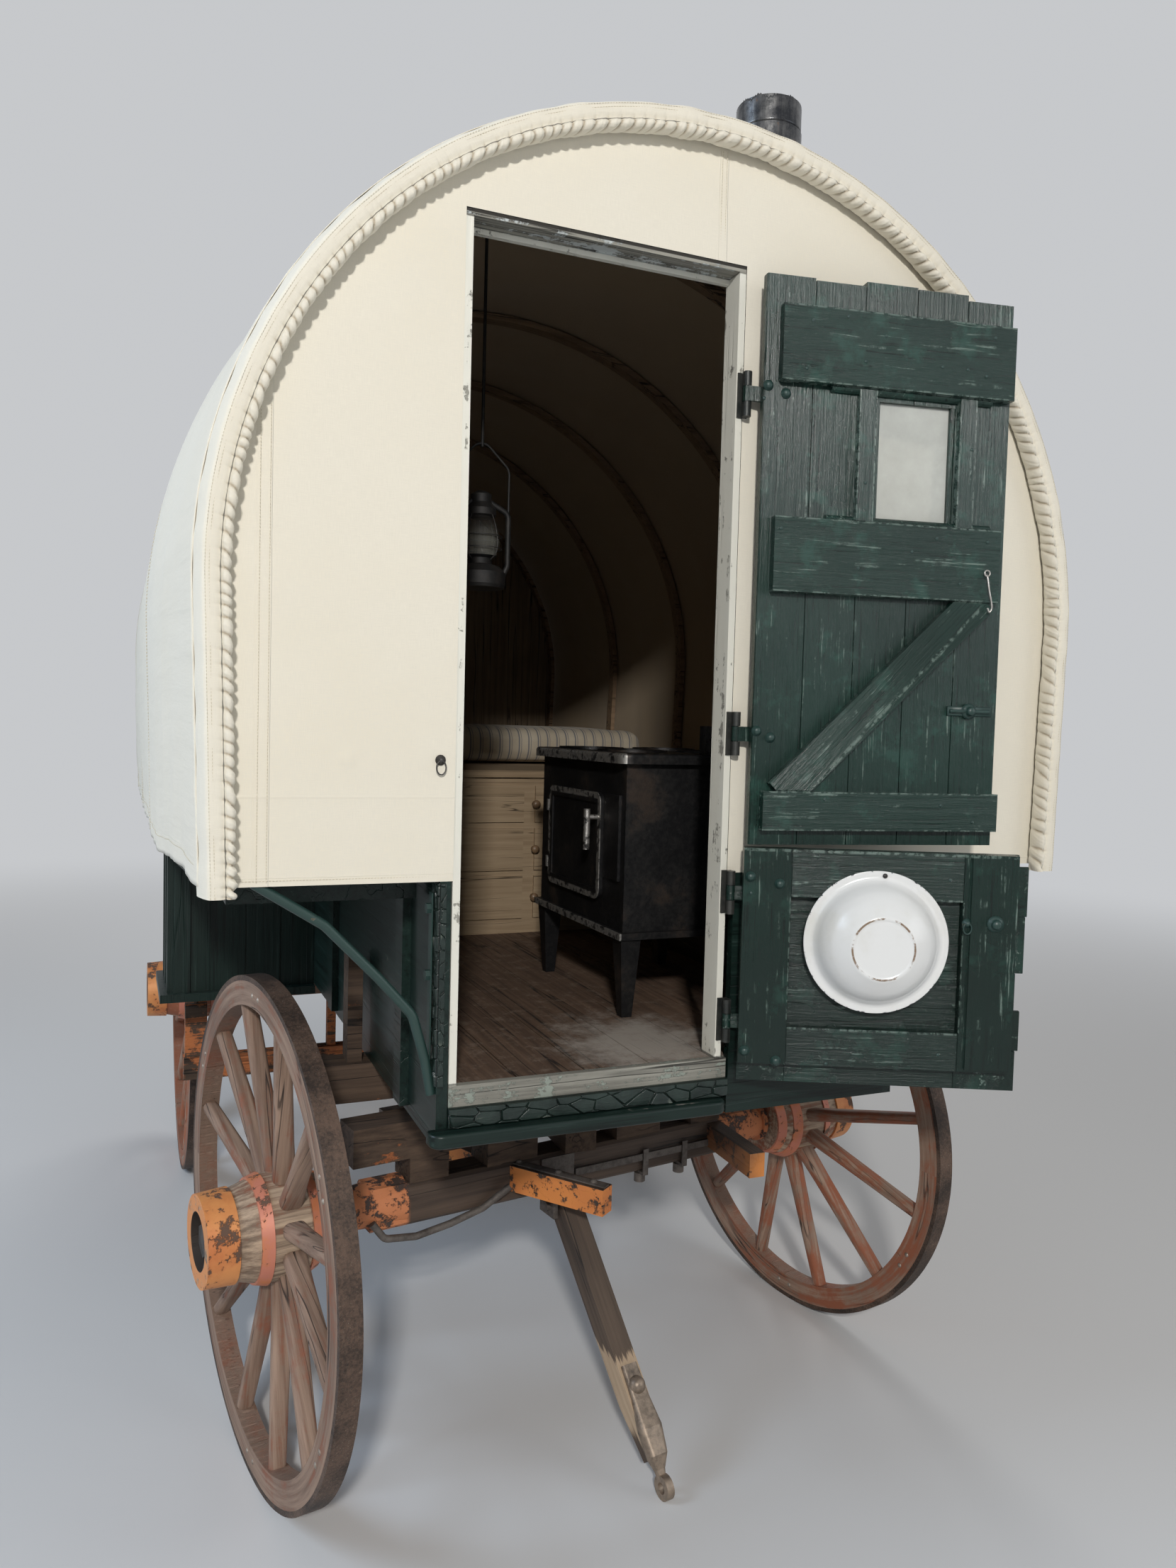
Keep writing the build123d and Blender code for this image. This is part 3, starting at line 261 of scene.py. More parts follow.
def old_wood(f, along, light, dark, split=0.016):
    """Weathered wood: fibres are noise drawn out along the grain, and a crack runs where a slower
    noise passes its middle value. Returns its colour, its height from 0 to 1, fibres and tone."""
    fibres = f.noise(along, 1.0, 6.0, 0.68)
    tone = f.noise(f.place, 2.6, 3.0, 0.5)
    drift = f.noise(along, 0.24, 3.0, 0.5) - 0.5
    checks = abs(drift).between(0.0, split).most(tone.between(0.50, 0.62))
    bare = f.blend((fibres * 0.8 + tone * 0.35).between(0.28, 0.85), dark, light)
    bare = f.blend(checks, shade(dark, 0.25), bare)
    return bare, fibres * 0.55 + checks * 0.45, fibres, tone


def old_paint(f, wood, paint, cover, gloss, depth):
    """Paint over old wood, left where a broad noise plus the fibres stays under its cover. It is darkened
    in the grooves of the grain as painted shade and paled on the ridges as painted highlights, and lies
    a little proud of the bare wood."""
    bare, height, fibres, tone = wood
    worn = (f.noise(f.place, 9.0, 8.0, 0.72) * 0.6 + fibres * 0.4).between(cover - 0.02, cover + 0.025)
    coat = f.blend(tone.between(0.3, 0.7), shade(paint, 0.7), paint)
    # painted shade in the grooves of the grain, then painted highlights on its ridges
    coat = f.blend(fibres.between(0.50, 0.36), coat, shade(paint, 0.35))
    coat = f.blend(fibres.between(0.56, 0.74), coat, shade(paint, 1.8, 0.014))
    f.set(Base_Color=f.blend(worn, coat, bare), Roughness=worn * (0.82 - gloss) + gloss)
    f.set(Specular_IOR_Level=0.34)
    return f.relief(height + (1 - worn) * 0.15, depth)


def timber(name, run, light, dark, paint=None, cover=0.5, gloss=0.45, split=0.016):
    """A finish for straight timbers, with its grain along the axis that run stretches least."""
    f = Finish(name)
    wood = old_wood(f, f.stretched(run), light, dark, split)
    depth = 0.0015
    if paint is None:
        return f.set(Base_Color=wood[0], Roughness=0.8).relief(wood[1], depth)
    return old_paint(f, wood, paint, cover, gloss, depth)


def iron(name, light, dark, paint=None, cover=0.5, rough=0.62, metal=0.35):
    """Old iron: pitted rust between two browns, with paint left where a noise stays under its cover."""
    f = Finish(name)
    pits = f.noise(f.place, 60.0, 8.0, 0.7)
    tone = f.noise(f.place, 7.2, 4.0, 0.6)
    depth = 0.0006
    colour = f.blend((pits * 0.6 + tone * 0.6).between(0.4, 0.75), dark, light)
    roughness = pits * 0.3 + (rough - 0.12)
    if paint is None:
        return f.set(Base_Color=colour, Roughness=roughness, Metallic=metal).relief(pits, depth)
    worn = (f.noise(f.place, 21.0, 8.0, 0.72) * 0.7 + tone * 0.3).between(cover - 0.02, cover + 0.02)
    f.set(Base_Color=f.blend(worn, f.blend(tone, shade(paint, 0.8), paint), colour))
    f.set(Roughness=worn * 0.35 + 0.4, Metallic=worn * metal)
    return f.relief(pits * 0.5 + (1 - worn) * 0.5, depth)


# Running gear: heavy oak timbers, bolted and clipped together, once painted orange and now mostly
# bare, cracked and brown.
STEER = math.radians(9.4)
KING = Vector((0, -0.9339, 0))
OAK_LIGHT = (0.105, 0.068, 0.045)
OAK_DARK = (0.024, 0.015, 0.011)
ORANGE = (0.55, 0.175, 0.055)
GRAIN_X = (2.2, 70.0, 70.0)
GRAIN_Y = (70.0, 2.2, 70.0)
GRAIN_Z = (70.0, 70.0, 2.2)
timber("gear_wood_cross", GRAIN_X, OAK_LIGHT, OAK_DARK, ORANGE, 0.385, 0.6).on(
    "front_bolster", "rear_bolster", "sand_board")
timber("brake_wood", GRAIN_X, OAK_LIGHT, OAK_DARK, ORANGE, 0.50, 0.6).on("brake_gear")
timber("reach_wood", GRAIN_Y, OAK_LIGHT, OAK_DARK, ORANGE, 0.40, 0.6).on("reach")

# Hounds: level oak timbers, let into the front axle. Their sides keep the most orange, chipped to
# black, and their tops are worn and greasy.
f = Finish("hound_wood")
bare, height, _, tone = old_wood(f, f.stretched(GRAIN_Y), OAK_LIGHT, OAK_DARK)
chips = (f.noise(f.place, 20.0, 8.0, 0.75) * 0.65 + tone * 0.35).between(0.505, 0.535)
coat = f.blend(tone.between(0.35, 0.65), (0.70, 0.25, 0.055), (0.42, 0.12, 0.045))
hound_top = f.part(f.place, 2).between(0.5985, 0.5997)
right_side = f.part(f.place, 0).between(0.15, 0.20) * 0.75
left_bare = chips.most(hound_top).most(right_side * tone.between(0.25, 0.45))
f.set(Base_Color=f.blend(left_bare, coat, bare), Roughness=0.72 - hound_top * 0.22)
f.relief(height * 0.5 + (1 - chips) * 0.5, 0.0016).on("front_hounds")

# The tongue is a sawn-off pole that slopes to the floor. Its grain follows the slope, and the paint
# and dirt are rubbed off its upper face near the fitting.
TONGUE_SLOPE = math.atan2(0.471, 0.447)
f = Finish("tongue_wood")
on_tongue = f.turned(-STEER, KING)
on_tongue = f.node("ShaderNodeVectorRotate", {"rotation_type": "X_AXIS"},
                   {"Vector": on_tongue, "Angle": -TONGUE_SLOPE})
tongue_z = f.part(f.place, 2)
tongue_grain = f.scaled(on_tongue, GRAIN_Y)
bare, height, fibres, _ = old_wood(f, tongue_grain, (0.115, 0.080, 0.056), (0.030, 0.020, 0.015))
patch_top = (tongue_z + (fibres - 0.5) * 0.10).between(0.245, 0.235)
patch = patch_top * (tongue_z + (fibres - 0.5) * 0.08).between(0.09, 0.12)
rubbed_wood = f.blend(fibres, (0.30, 0.20, 0.12), (0.56, 0.43, 0.30))
f.set(Base_Color=f.blend(patch, bare, rubbed_wood), Roughness=0.75)
f.relief(height, 0.0018).on("tongue")

# The front axle's bed is bare oak, and the iron thimbles on its ends keep their orange paint. Their
# arms and nuts, inside the hubs, are painted near black, for grease and as painted shade in the hubs'
# recesses.
f = Finish("front_axle_wood_and_thimbles")
on_axle = f.turned(-STEER, KING)
along_axle = abs(f.part(on_axle, 0))
thimble = along_axle.between(0.46, 0.475)
greased_and_shaded = along_axle.between(0.80, 0.805)
bare, height, _, tone = old_wood(f, f.stretched(GRAIN_X, (0, 0, -STEER)), (0.10, 0.066, 0.045), OAK_DARK)
chips = (f.noise(f.place, 26.0, 8.0, 0.72) * 0.7 + tone * 0.3).between(0.50, 0.54)
coat = f.blend(tone, (0.46, 0.15, 0.06), (0.62, 0.24, 0.10))
iron_coat = f.blend(chips, coat, (0.055, 0.035, 0.028))
colour = f.blend(greased_and_shaded, f.blend(thimble, bare, iron_coat), (0.030, 0.024, 0.020))
f.set(Base_Color=colour, Roughness=0.72 - greased_and_shaded * 0.3)
f.relief(f.blend(thimble, height, (1 - chips) * 0.6), 0.0015).on("front_axle")
iron("rear_axle_iron", (0.20, 0.12, 0.08), (0.05, 0.035, 0.028), (0.50, 0.17, 0.065), 0.50).on("rear_axle")

# Gear irons: forged straps, pins and plates, brown and pitted. The tongue's cap is rubbed bright, and
# the rods that brace the wings are painted green.
grey_iron = iron("grey_iron", (0.15, 0.13, 0.115), (0.045, 0.036, 0.031))
grey_iron.on("axle_irons", "tongue_irons", "king_bolt", "wear_plate")
iron("fitting_iron", (0.34, 0.265, 0.20), (0.085, 0.068, 0.055), rough=0.42, metal=0.6).on("tongue_cap")
green_iron = iron("green_iron", (0.2, 0.15, 0.1), (0.05, 0.04, 0.03), (0.020, 0.050, 0.043), 0.66)
green_iron.on("wing_braces")


# Wheels: elm hubs, hickory spokes and bent ash felloes, shut into a hot iron tyre. The grain runs
# along each spoke, round the rim and along the hub.
def wheel_finish(name, centre, turn, spokes, rim_inner, red, cover):
    """Wood in wheel coordinates: x along the axle, r out from it, and the angle round it. Spoke
    grain is read from r and the distance from the spoke's middle line, rim grain from the angle."""
    f = Finish(name)
    local = f.turned(turn, centre)
    x, y, z = f.parts(local)
    r = f.maths("POWER", y * y + z * z, 0.5)
    angle = f.maths("ARCTAN2", z, y)
    turns = angle / (2 * math.pi) * spokes + 100.0
    number = f.maths("FLOOR", turns)
    aside = (turns - number - 0.5) * (2 * math.pi / spokes) * r
    spoke_grain = f.point(x * 70.0, aside * 70.0 + number * 9.0, r * 2.4)
    rim_grain = f.point(x * 60.0, r * 60.0, angle * 1.6)
    hub_grain = f.point(x * 3.0, y * 60.0, z * 60.0)
    at_rim = r.between(rim_inner - 0.001, rim_inner + 0.001)
    at_hub = 1 - r.between(0.117, 0.119)
    grain = f.pick(at_hub, f.pick(at_rim, spoke_grain, rim_grain), hub_grain)
    bare, height, fibres, _ = old_wood(f, grain, (0.37, 0.25, 0.18), (0.10, 0.056, 0.038), 0.010)
    pale_hub = f.blend(fibres.between(0.35, 0.7), (0.16, 0.11, 0.075), (0.50, 0.37, 0.26))
    bare = f.blend(at_hub, bare, pale_hub)
    left = (f.noise(f.place, 8.0, 8.0, 0.7) * 0.55 + fibres * 0.45).between(cover - 0.05, cover + 0.08)
    bare = f.blend(left, red, bare)
    end_paint = at_hub * x.between(0.10, 0.11) * (1 - f.noise(f.place, 30.0, 8.0, 0.7).between(0.56, 0.60))
    bare = f.blend(end_paint, bare, (0.66, 0.27, 0.10))
    # The floor of the recess in the hub's end is painted near black: painted shade.
    shaded_recess = (1 - r.between(0.0625, 0.0632)) * x.between(0.085, 0.088)
    f.set(Base_Color=f.blend(shaded_recess, bare, (0.03, 0.022, 0.018)), Roughness=0.72)
    return f.relief(height, 0.0013)


REAR_AXLE_Y = 0.8791
FRONT_HUB = Vector((0, 0, 0.559))
front_out = Vector((math.cos(STEER), math.sin(STEER), 0)) * 0.797
rear_out = Vector((0.842, 0, 0))
rear_hub = Vector((0, REAR_AXLE_Y, 0.66))
wheel_rows = (
    # name, centre, turn to wheel coordinates, spokes, inner radius of the rim, paint left, its cover
    ("front_left", KING + FRONT_HUB - front_out, math.pi - STEER, 12, 0.492, (0.24, 0.085, 0.045), 0.42),
    ("front_right", KING + FRONT_HUB + front_out, -STEER, 12, 0.492, (0.27, 0.088, 0.042), 0.475),
    ("rear_left", rear_hub - rear_out, math.pi, 14, 0.593, (0.30, 0.10, 0.048), 0.50),
    ("rear_right", rear_hub + rear_out, 0.0, 14, 0.593, (0.27, 0.09, 0.044), 0.46),
)
for wheel, *row in wheel_rows:
    wheel_finish("wood_" + wheel, *row).on(wheel + "_wheel")

# Tyres are iron hoops, shrunk onto the felloes. They are brown with rust, and grit from the road is
# ground into their treads.
f = Finish("tyre_iron")
pits = f.noise(f.place, 160.0, 8.0, 0.75)
grit = f.noise(f.place, 260.0, 6.0, 0.8).between(0.58, 0.64)
tone = f.noise(f.place, 9.0, 5.0, 0.6)
rust = f.blend((pits * 0.5 + tone * 0.5).between(0.4, 0.62), (0.030, 0.020, 0.015), (0.125, 0.078, 0.055))
f.set(Base_Color=f.blend(grit * tone.between(0.35, 0.65), rust, (0.34, 0.28, 0.22)))
f.set(Roughness=0.66, Metallic=0.25)
f.relief(pits * 0.5 + grit * 0.5, 0.0010).on(
    "front_left_tyre", "front_right_tyre", "rear_left_tyre", "rear_right_tyre")

# Hub bands are iron hoops, driven onto the hubs and painted orange. The paint is chipped, and faded
# to pink where they stand by the spokes.
for wheel, centre, turn, *_ in wheel_rows:
    f = Finish("band_" + wheel)
    local = f.turned(turn, centre)
    outer = f.part(local, 0).between(0.05, 0.07)
    tone = f.noise(f.place, 14.0, 5.0, 0.6)
    chips = (f.noise(f.place, 22.0, 8.0, 0.75) * 0.7 + tone * 0.3).between(0.54, 0.57)
    coat = f.blend(outer, (0.56, 0.20, 0.13), (0.72, 0.30, 0.10))
    coat = f.blend(tone.between(0.4, 0.7), coat, (0.60, 0.20, 0.065))
    f.set(Base_Color=f.blend(chips, coat, (0.13, 0.075, 0.05)), Roughness=chips * 0.3 + 0.5, Metallic=0.1)
    f.relief(1 - chips, 0.0008).on(wheel + "_hub_bands")

# Lower box: pine boards under many coats of dark green, which have sunk into the raised grain and
# crackled along the edges.
BOX_GREEN = (0.0075, 0.0200, 0.0160)
BARE_GREY = (0.20, 0.19, 0.17)
BARE_DARK = (0.04, 0.036, 0.030)
board_rows = (
    # name, grain, how much paint is left, gloss, nodes
    ("green_boards_long", GRAIN_Y, 0.66, 0.34,
     ("box_side_left", "box_side_right", "wing_left", "wing_right")),
    ("green_boards_cross", GRAIN_X, 0.62, 0.34, ("box_front", "box_back", "box_sills", "doorstep")),
    ("green_boards_up", GRAIN_Z, 0.66, 0.36, ("locker_left", "locker_right")),
)
for name, run, cover, gloss, nodes in board_rows:
    timber(name, run, BARE_GREY, BARE_DARK, BOX_GREEN, cover, gloss).on(*nodes)

# Back wall, bows and bunk: bare pine and ash inside the cabin. Only the outside of the back wall's
# boards has the green paint of the box.
f = Finish("back_boards")
wood = old_wood(f, f.stretched(GRAIN_Z), (0.35, 0.27, 0.18), (0.16, 0.11, 0.07))
old_paint(f, wood, BOX_GREEN, 0.64, 0.36, 0.002)
painted = f.fed("Base Color")
outside = f.part(f.place, 1).between(1.8005, 1.8015)
f.set(Base_Color=f.blend(outside, wood[0], painted)).on("back_wall")
timber("bow_wood", GRAIN_X, (0.32, 0.22, 0.13), (0.16, 0.1, 0.06)).on("bows")
timber("bunk_wood", GRAIN_X, (0.40, 0.30, 0.19), (0.24, 0.165, 0.095), split=0.004).on("bunk")

# Floor: wide pine boards, laid along the wagon. They are scuffed dark by boots, with grey dust
# trodden in by the door.
f = Finish("floor_boards")
wood = old_wood(f, f.stretched(GRAIN_Y), (0.17, 0.105, 0.068), (0.045, 0.026, 0.017))
dust_at = f.node("ShaderNodeVectorMath", {"operation": "DISTANCE"},
                 {0: f.stretched((1.0, 0.8, 0.0)), 1: (-0.02, -1.40 * 0.8, 0.0)}, out=1)
dust = (dust_at + f.noise(f.place, 12.0, 8.0, 0.75) * 0.46).between(0.47, 0.28)
scuffs = f.noise(f.place, 22.0, 8.0, 0.8).between(0.50, 0.66)
trodden = f.blend(scuffs * 0.5, wood[0], (0.26, 0.20, 0.155))
f.set(Base_Color=f.blend(dust * 0.8, trodden, (0.44, 0.40, 0.355)), Roughness=0.72)
f.relief(wood[1], 0.0012).on("box_floor")

# Door frame: white lead paint on pine. It has yellowed on the jambs, has worn to grey wood on the
# header, and is walked off the threshold.
f = Finish("white_frame")
frame_z = f.part(f.place, 2)
header = frame_z.between(2.619, 2.621)
tread = frame_z.between(1.006, 1.002)
grain = f.pick(header.most(tread), f.stretched(GRAIN_Z), f.stretched(GRAIN_X))
bare, height, fibres, tone = old_wood(f, grain, (0.38, 0.37, 0.32), (0.10, 0.095, 0.08))
cover = 0.575 - header * 0.11 - tread * 0.12
chipped = (f.noise(f.place, 16.0, 8.0, 0.74) * 0.62 + fibres * 0.38 - cover).between(-0.012, 0.018)
lead = f.blend(tone, (0.78, 0.765, 0.67), (0.70, 0.69, 0.62))
lead = f.blend(header, lead, (0.50, 0.535, 0.53))
lead = f.blend(tread, lead, (0.26, 0.29, 0.25))
# A thin strip at the header's top edge is painted near black: painted shade in the gap under the canvas.
shaded_gap_strip = frame_z.between(2.6275, 2.6290)
f.set(Base_Color=f.blend(shaded_gap_strip, f.blend(chipped, lead, bare), (0.030, 0.027, 0.022)))
f.set(Roughness=chipped * 0.4 + 0.45)
f.relief(height * 0.6 + (1 - chipped) * 0.4, 0.0018).on("door_frame")


# Doors: two leaves of green boards on one jamb. The upper leaf has upright boards under level
# battens and a brace, and the lower has stiles and rails, so the grain turns from piece to piece.
DOOR_GREEN = (0.0085, 0.0300, 0.0225)
FRONT_Y = -1.5509
HINGE = Vector((0.088, FRONT_Y - 0.014, 0))
BATTEN_FACE = 0.0345
UPPER_OPEN = 169.4
LOWER_OPEN = 154.1
FINE_X = (5.0, 120.0, 120.0)
FINE_Z = (120.0, 120.0, 5.0)


def leaf_finish(name, open_deg):
    """A finish with leaf coordinates: x along the leaf, y through it and z up. Returns the finish,
    the point and its three coordinates."""
    f = Finish(name)
    local = f.turned(-math.radians(open_deg), HINGE)
    return f, local, f.parts(local)


def within(field, low, high, edge=0.001):
    """1 where a field lies between two values, and 0 elsewhere."""
    return field.between(low - edge, low + edge) * (1 - field.between(high - edge, high + edge))


def door_paint(f, grain, paint, gloss, edge_wear_and_glint):
    """Glossy paint sunk into raised grain, with painted shade in the grooves. Its ridges carry painted
    highlights in short strokes, and the edges of the raised pieces, where the edge mask is 1, are paled
    for wear and as painted highlights."""
    bare, height, fibres, tone = old_wood(f, grain, BARE_GREY, BARE_DARK)
    scuffed = f.noise(f.place, 11.0, 6.0, 0.7)
    worn = (f.noise(f.place, 9.0, 8.0, 0.72) * 0.6 + fibres * 0.4).between(0.67, 0.715)
    coat = f.blend(tone.between(0.3, 0.7), shade(paint, 0.7), paint)
    # painted shade in the grooves of the grain
    coat = f.blend(fibres.between(0.44, 0.34), coat, shade(paint, 0.4))
    coat = f.blend(scuffed.between(0.52, 0.66), coat, shade(paint, 1.7))
    # painted highlights: pale strokes on the ridges, and pale edges of the raised pieces for wear and
    # highlight together
    ridge_glints = fibres.between(0.575, 0.64) * scuffed.between(0.47, 0.58)
    worn_and_lit_edges = f.noise(f.place, 60.0, 6.0, 0.7).between(0.45, 0.56) * edge_wear_and_glint * 0.8
    coat = f.blend(ridge_glints.most(worn_and_lit_edges), coat, (0.125, 0.175, 0.150))
    f.set(Base_Color=f.blend(worn, coat, bare), Specular_IOR_Level=0.42)
    f.set(Roughness=worn * (0.8 - gloss) + scuffed * 0.16 + gloss - 0.08)
    return f.relief(fibres * 0.62 + height * 0.18 + scuffed * 0.2, 0.0046)


def edge_lines(edge_wear_and_glint, field, places, wide, thin, where=None):
    """Edge lines of wear and painted highlight, with lines added where a field is near each of its places,
    within a mask.
    """
    for place in places:
        line = abs(field - place).between(wide, thin)
        edge_wear_and_glint = (line if where is None else line * where).most(edge_wear_and_glint)
    return edge_wear_and_glint


WINDOW_Z = (2.127, 2.393)
f, local, (leaf_x, leaf_y, leaf_z) = leaf_finish("green_upper_door", UPPER_OPEN)
raised = leaf_y.between(BATTEN_FACE - 0.0005, BATTEN_FACE + 0.0005)
braced = within(leaf_z, 1.572, 1.973) * raised
level_piece = raised * (1 - braced) * (1 - within(leaf_z, *WINDOW_Z))
BRACE_SLOPE = math.atan2(0.425, 0.405)
level_grain = f.scaled(local, FINE_X)
brace_grain = f.scaled(f.node("ShaderNodeVectorRotate", {"rotation_type": "Y_AXIS"},
                              {"Vector": local, "Angle": -BRACE_SLOPE}), FINE_X)
grain = f.pick(level_piece, f.scaled(local, FINE_Z), level_grain)
grain = f.pick(braced, grain, brace_grain)
beside_glass = within(leaf_z, *WINDOW_Z)
# Edges of the battens, the brace and the glass are paled for wear and as painted highlights.
edge_wear_and_glint = edge_lines(0, leaf_z, (2.545, 2.395, 2.125, 1.975, 1.570, 1.490), 0.0045, 0.0012)
edge_wear_and_glint = edge_lines(edge_wear_and_glint, leaf_x, (-0.4905, -0.4525, -0.2635, -0.2260), 0.0035, 0.0012, beside_glass)
brace_up = (leaf_z - 1.560) * math.cos(BRACE_SLOPE) + (leaf_x + 0.083) * math.sin(BRACE_SLOPE)
edge_wear_and_glint = (abs(brace_up + 0.036).between(0.0060, 0.0010) * braced).most(edge_wear_and_glint)
door_paint(f, grain, DOOR_GREEN, 0.24, edge_wear_and_glint * raised).on("door_upper")
upper_green = f

PANEL_X = (-0.468, -0.121)
PANEL_Z = (1.085, 1.355)
f, local, (leaf_x, leaf_y, leaf_z) = leaf_finish("green_lower_door", LOWER_OPEN)
stile = (1 - within(leaf_x, *PANEL_X)) * leaf_y.between(0.0115, 0.0125)
grain = f.pick(stile, f.scaled(local, FINE_X), f.scaled(local, FINE_Z))
# Edges of the stiles, rails and panel are paled for wear and as painted highlights.
edge_wear_and_glint = abs(leaf_z - 1.450).between(0.0045, 0.0015)
edge_wear_and_glint = edge_lines(edge_wear_and_glint, leaf_z, PANEL_Z, 0.0060, 0.0015, within(leaf_x, *PANEL_X))
edge_wear_and_glint = edge_lines(edge_wear_and_glint, leaf_x, PANEL_X, 0.0035, 0.0012, within(leaf_z, *PANEL_Z))
edge_wear_and_glint = edge_wear_and_glint * leaf_y.between(0.030, 0.032)
# The lower leaf takes the upper leaf's green darkened to 0.7: painted shade.
door_paint(f, grain, shade(DOOR_GREEN, 0.7), 0.22, edge_wear_and_glint).on("door_lower")

# Canvas. The front wall is one taut panel of unbleached cotton duck, drawn tight between the hoop and
# the doorway. It is seamed twice, near its left edge and over the door.
HOOP_Z = 1.935
FOOT_LEAN = 0.014
FRONT_R = 0.973
HALF_TURN = math.pi * FRONT_R


def hoop(share, radius, foot):
    """Points along a hoop seen from the front, from its left foot over the top to its right foot.
    The two sides lean in at the foot, and the arch between them is half a circle. Returns x, z and
    the outward direction."""
    side = HOOP_Z - foot
    along = np.asarray(share) * (2 * side + HALF_TURN)
    turn = np.clip((along - side) / HALF_TURN, 0, 1) * math.pi
    up = np.minimum(np.minimum(along, 2 * side + HALF_TURN - along), side)
    out_x, out_z = -np.cos(turn), np.sin(turn)
    lean = FOOT_LEAN * (1 - up / side)
    return (radius - lean) * out_x, foot + up + radius * out_z, out_x, out_z


def ripple(along, seed, shortest, longest, count=9):
    """A smooth random line from -1 to 1: a sum of sines of seeded lengths and phases."""
    draw = np.random.default_rng(seed)
    total = np.zeros_like(np.asarray(along, float))
    for length, phase in zip(draw.uniform(shortest, longest, count), draw.uniform(0, 2 * math.pi, count)):
        total += np.sin(2 * math.pi * along / length + phase)
    return total / math.sqrt(count) / 1.6


def grid(*parts):
    """Points from one array for each coordinate, spread over the rows and columns of them all."""
    return np.stack(np.broadcast_arrays(*parts), -1)


def woven(name, points, cloth, turned=False):
    """A mesh from a grid of points, with a UV map that gives each point's place on the flat cloth.
    Its faces look to the other side when it is turned."""
    rows, columns = points.shape[:2]
    number = np.arange(rows * columns).reshape(rows, columns)
    quads = np.stack((number[:-1, :-1], number[:-1, 1:], number[1:, 1:], number[1:, :-1]), -1).reshape(-1, 4)
    quads = quads[:, ::-1] if turned else quads
    mesh = bpy.data.meshes.new(name)
    mesh.from_pydata(points.reshape(-1, 3).tolist(), [], quads.tolist())
    mesh.uv_layers.new(name="cloth").data.foreach_set("uv", cloth.reshape(-1, 2)[quads.ravel()].ravel())
    mesh.shade_smooth()
    return mesh


def put(name, mesh, finish, body):
    """Make a mesh a piece of the wagon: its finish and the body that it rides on."""
    mesh.materials.append(finish.material)
    piece = bpy.data.objects.new(name, mesh)
    bpy.context.scene.collection.objects.link(piece)
    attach(piece, body)
    return piece


def duck(name, colour):
    """Cotton duck: two crossed sets of fine threads, uneven yarn, and faint broad stains."""
    f = Finish(name)
    f.place = f.node("ShaderNodeTexCoord", out="UV")
    warp = f.noise(f.stretched((900.0, 45.0, 1.0)), 1.0, 2.0, 0.5)
    weft = f.noise(f.stretched((45.0, 900.0, 1.0)), 1.0, 2.0, 0.5)
    stain = f.noise(f.place, 2.2, 5.0, 0.6)
    yarn = (warp + weft) * 0.5
    stained = tuple(c * k for c, k in zip(colour, (0.965, 0.945, 0.90)))
    cloth = f.blend(stain.between(0.35, 0.75), colour, stained)
    cloth = f.blend(yarn.between(0.3, 0.75), shade(colour, 0.93), cloth)
    f.set(Base_Color=cloth, Roughness=0.88, Sheen_Weight=0.15, Sheen_Roughness=0.6)
    return f.relief(yarn * 0.7 + stain * 0.3, 0.0004)


CREAM = (0.79, 0.745, 0.635)
DOOR_X = (-0.505, 0.087)
HEADER_Z = 2.6345
PANEL_FOOT = 1.394
PANEL_R = 0.966
header_shares = (0.355, 0.56)
rising = np.linspace(0, header_shares[0], 150)
over = np.linspace(header_shares[0], header_shares[1], 70)[1:]
falling = np.linspace(header_shares[1], 1, 170)[1:]
share = np.concatenate((rising, over, falling))
outer_x, outer_z = hoop(share, PANEL_R, PANEL_FOOT)[:2]
inner_x = np.interp(share, (0, *header_shares, 1), (DOOR_X[0], *DOOR_X, DOOR_X[1]))
inner_z = np.interp(share, (0, *header_shares, 1), (PANEL_FOOT, HEADER_Z, HEADER_Z, PANEL_FOOT))
inward = np.linspace(0, 1, 70)[:, None]
panel_x = outer_x * (1 - inward) + inner_x * inward
panel_z = outer_z * (1 - inward) + inner_z * inward
beside_door = np.maximum(np.maximum(DOOR_X[0] - panel_x, panel_x - DOOR_X[1]), 0)
door_gap = np.hypot(beside_door, np.maximum(panel_z - HEADER_Z, 0))
slack = (1 - np.exp(-(door_gap / 0.08) ** 2)) * (1 - np.exp(-(inward / 0.2) ** 2))
fold = np.exp(-((panel_z - 1.555) / 0.006) ** 2) * (panel_x < -0.5)
dimple = np.exp(-((panel_x + 0.705) ** 2 + (panel_z - 1.62) ** 2) / 0.012 ** 2)
wave = 0.0022 * ripple(panel_x + 0.4 * panel_z, 3, 0.35, 1.1) + 0.0012 * ripple(panel_z, 4, 0.12, 0.5)
panel_y = FRONT_Y + 0.004 - 0.0030 * np.exp(-(door_gap / 0.16) ** 2)
panel_y = panel_y - slack * wave - 0.0008 * fold - 0.004 * dimple
f = duck("panel_canvas", CREAM)
flat_x = f.part(f.place, 0)
flat_z = f.part(f.place, 1)
doubled = flat_x.between(-0.8720, -0.8660) * (1 - flat_x.between(-0.8425, -0.8415))
doubled = doubled + flat_x.between(0.0195, 0.0205) * (1 - flat_x.between(0.0380, 0.0395))
doubled = doubled + (1 - flat_z.between(1.4075, 1.4090))
crease = abs(flat_z - 1.553).between(0.004, 0.0).least(1 - flat_x.between(-0.51, -0.50))
cloth_relief = f.fed("Normal")
f.set(Normal=f.node("ShaderNodeBump", None, {"Height": doubled + crease * 0.5, "Distance": 0.0011,
                                             "Normal": cloth_relief}))
panel_mesh = woven("front_panel", grid(panel_x, panel_y, panel_z), grid(panel_x, panel_z), turned=True)
panel = put("front_panel", panel_mesh, f, "root")
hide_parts("front_wall")

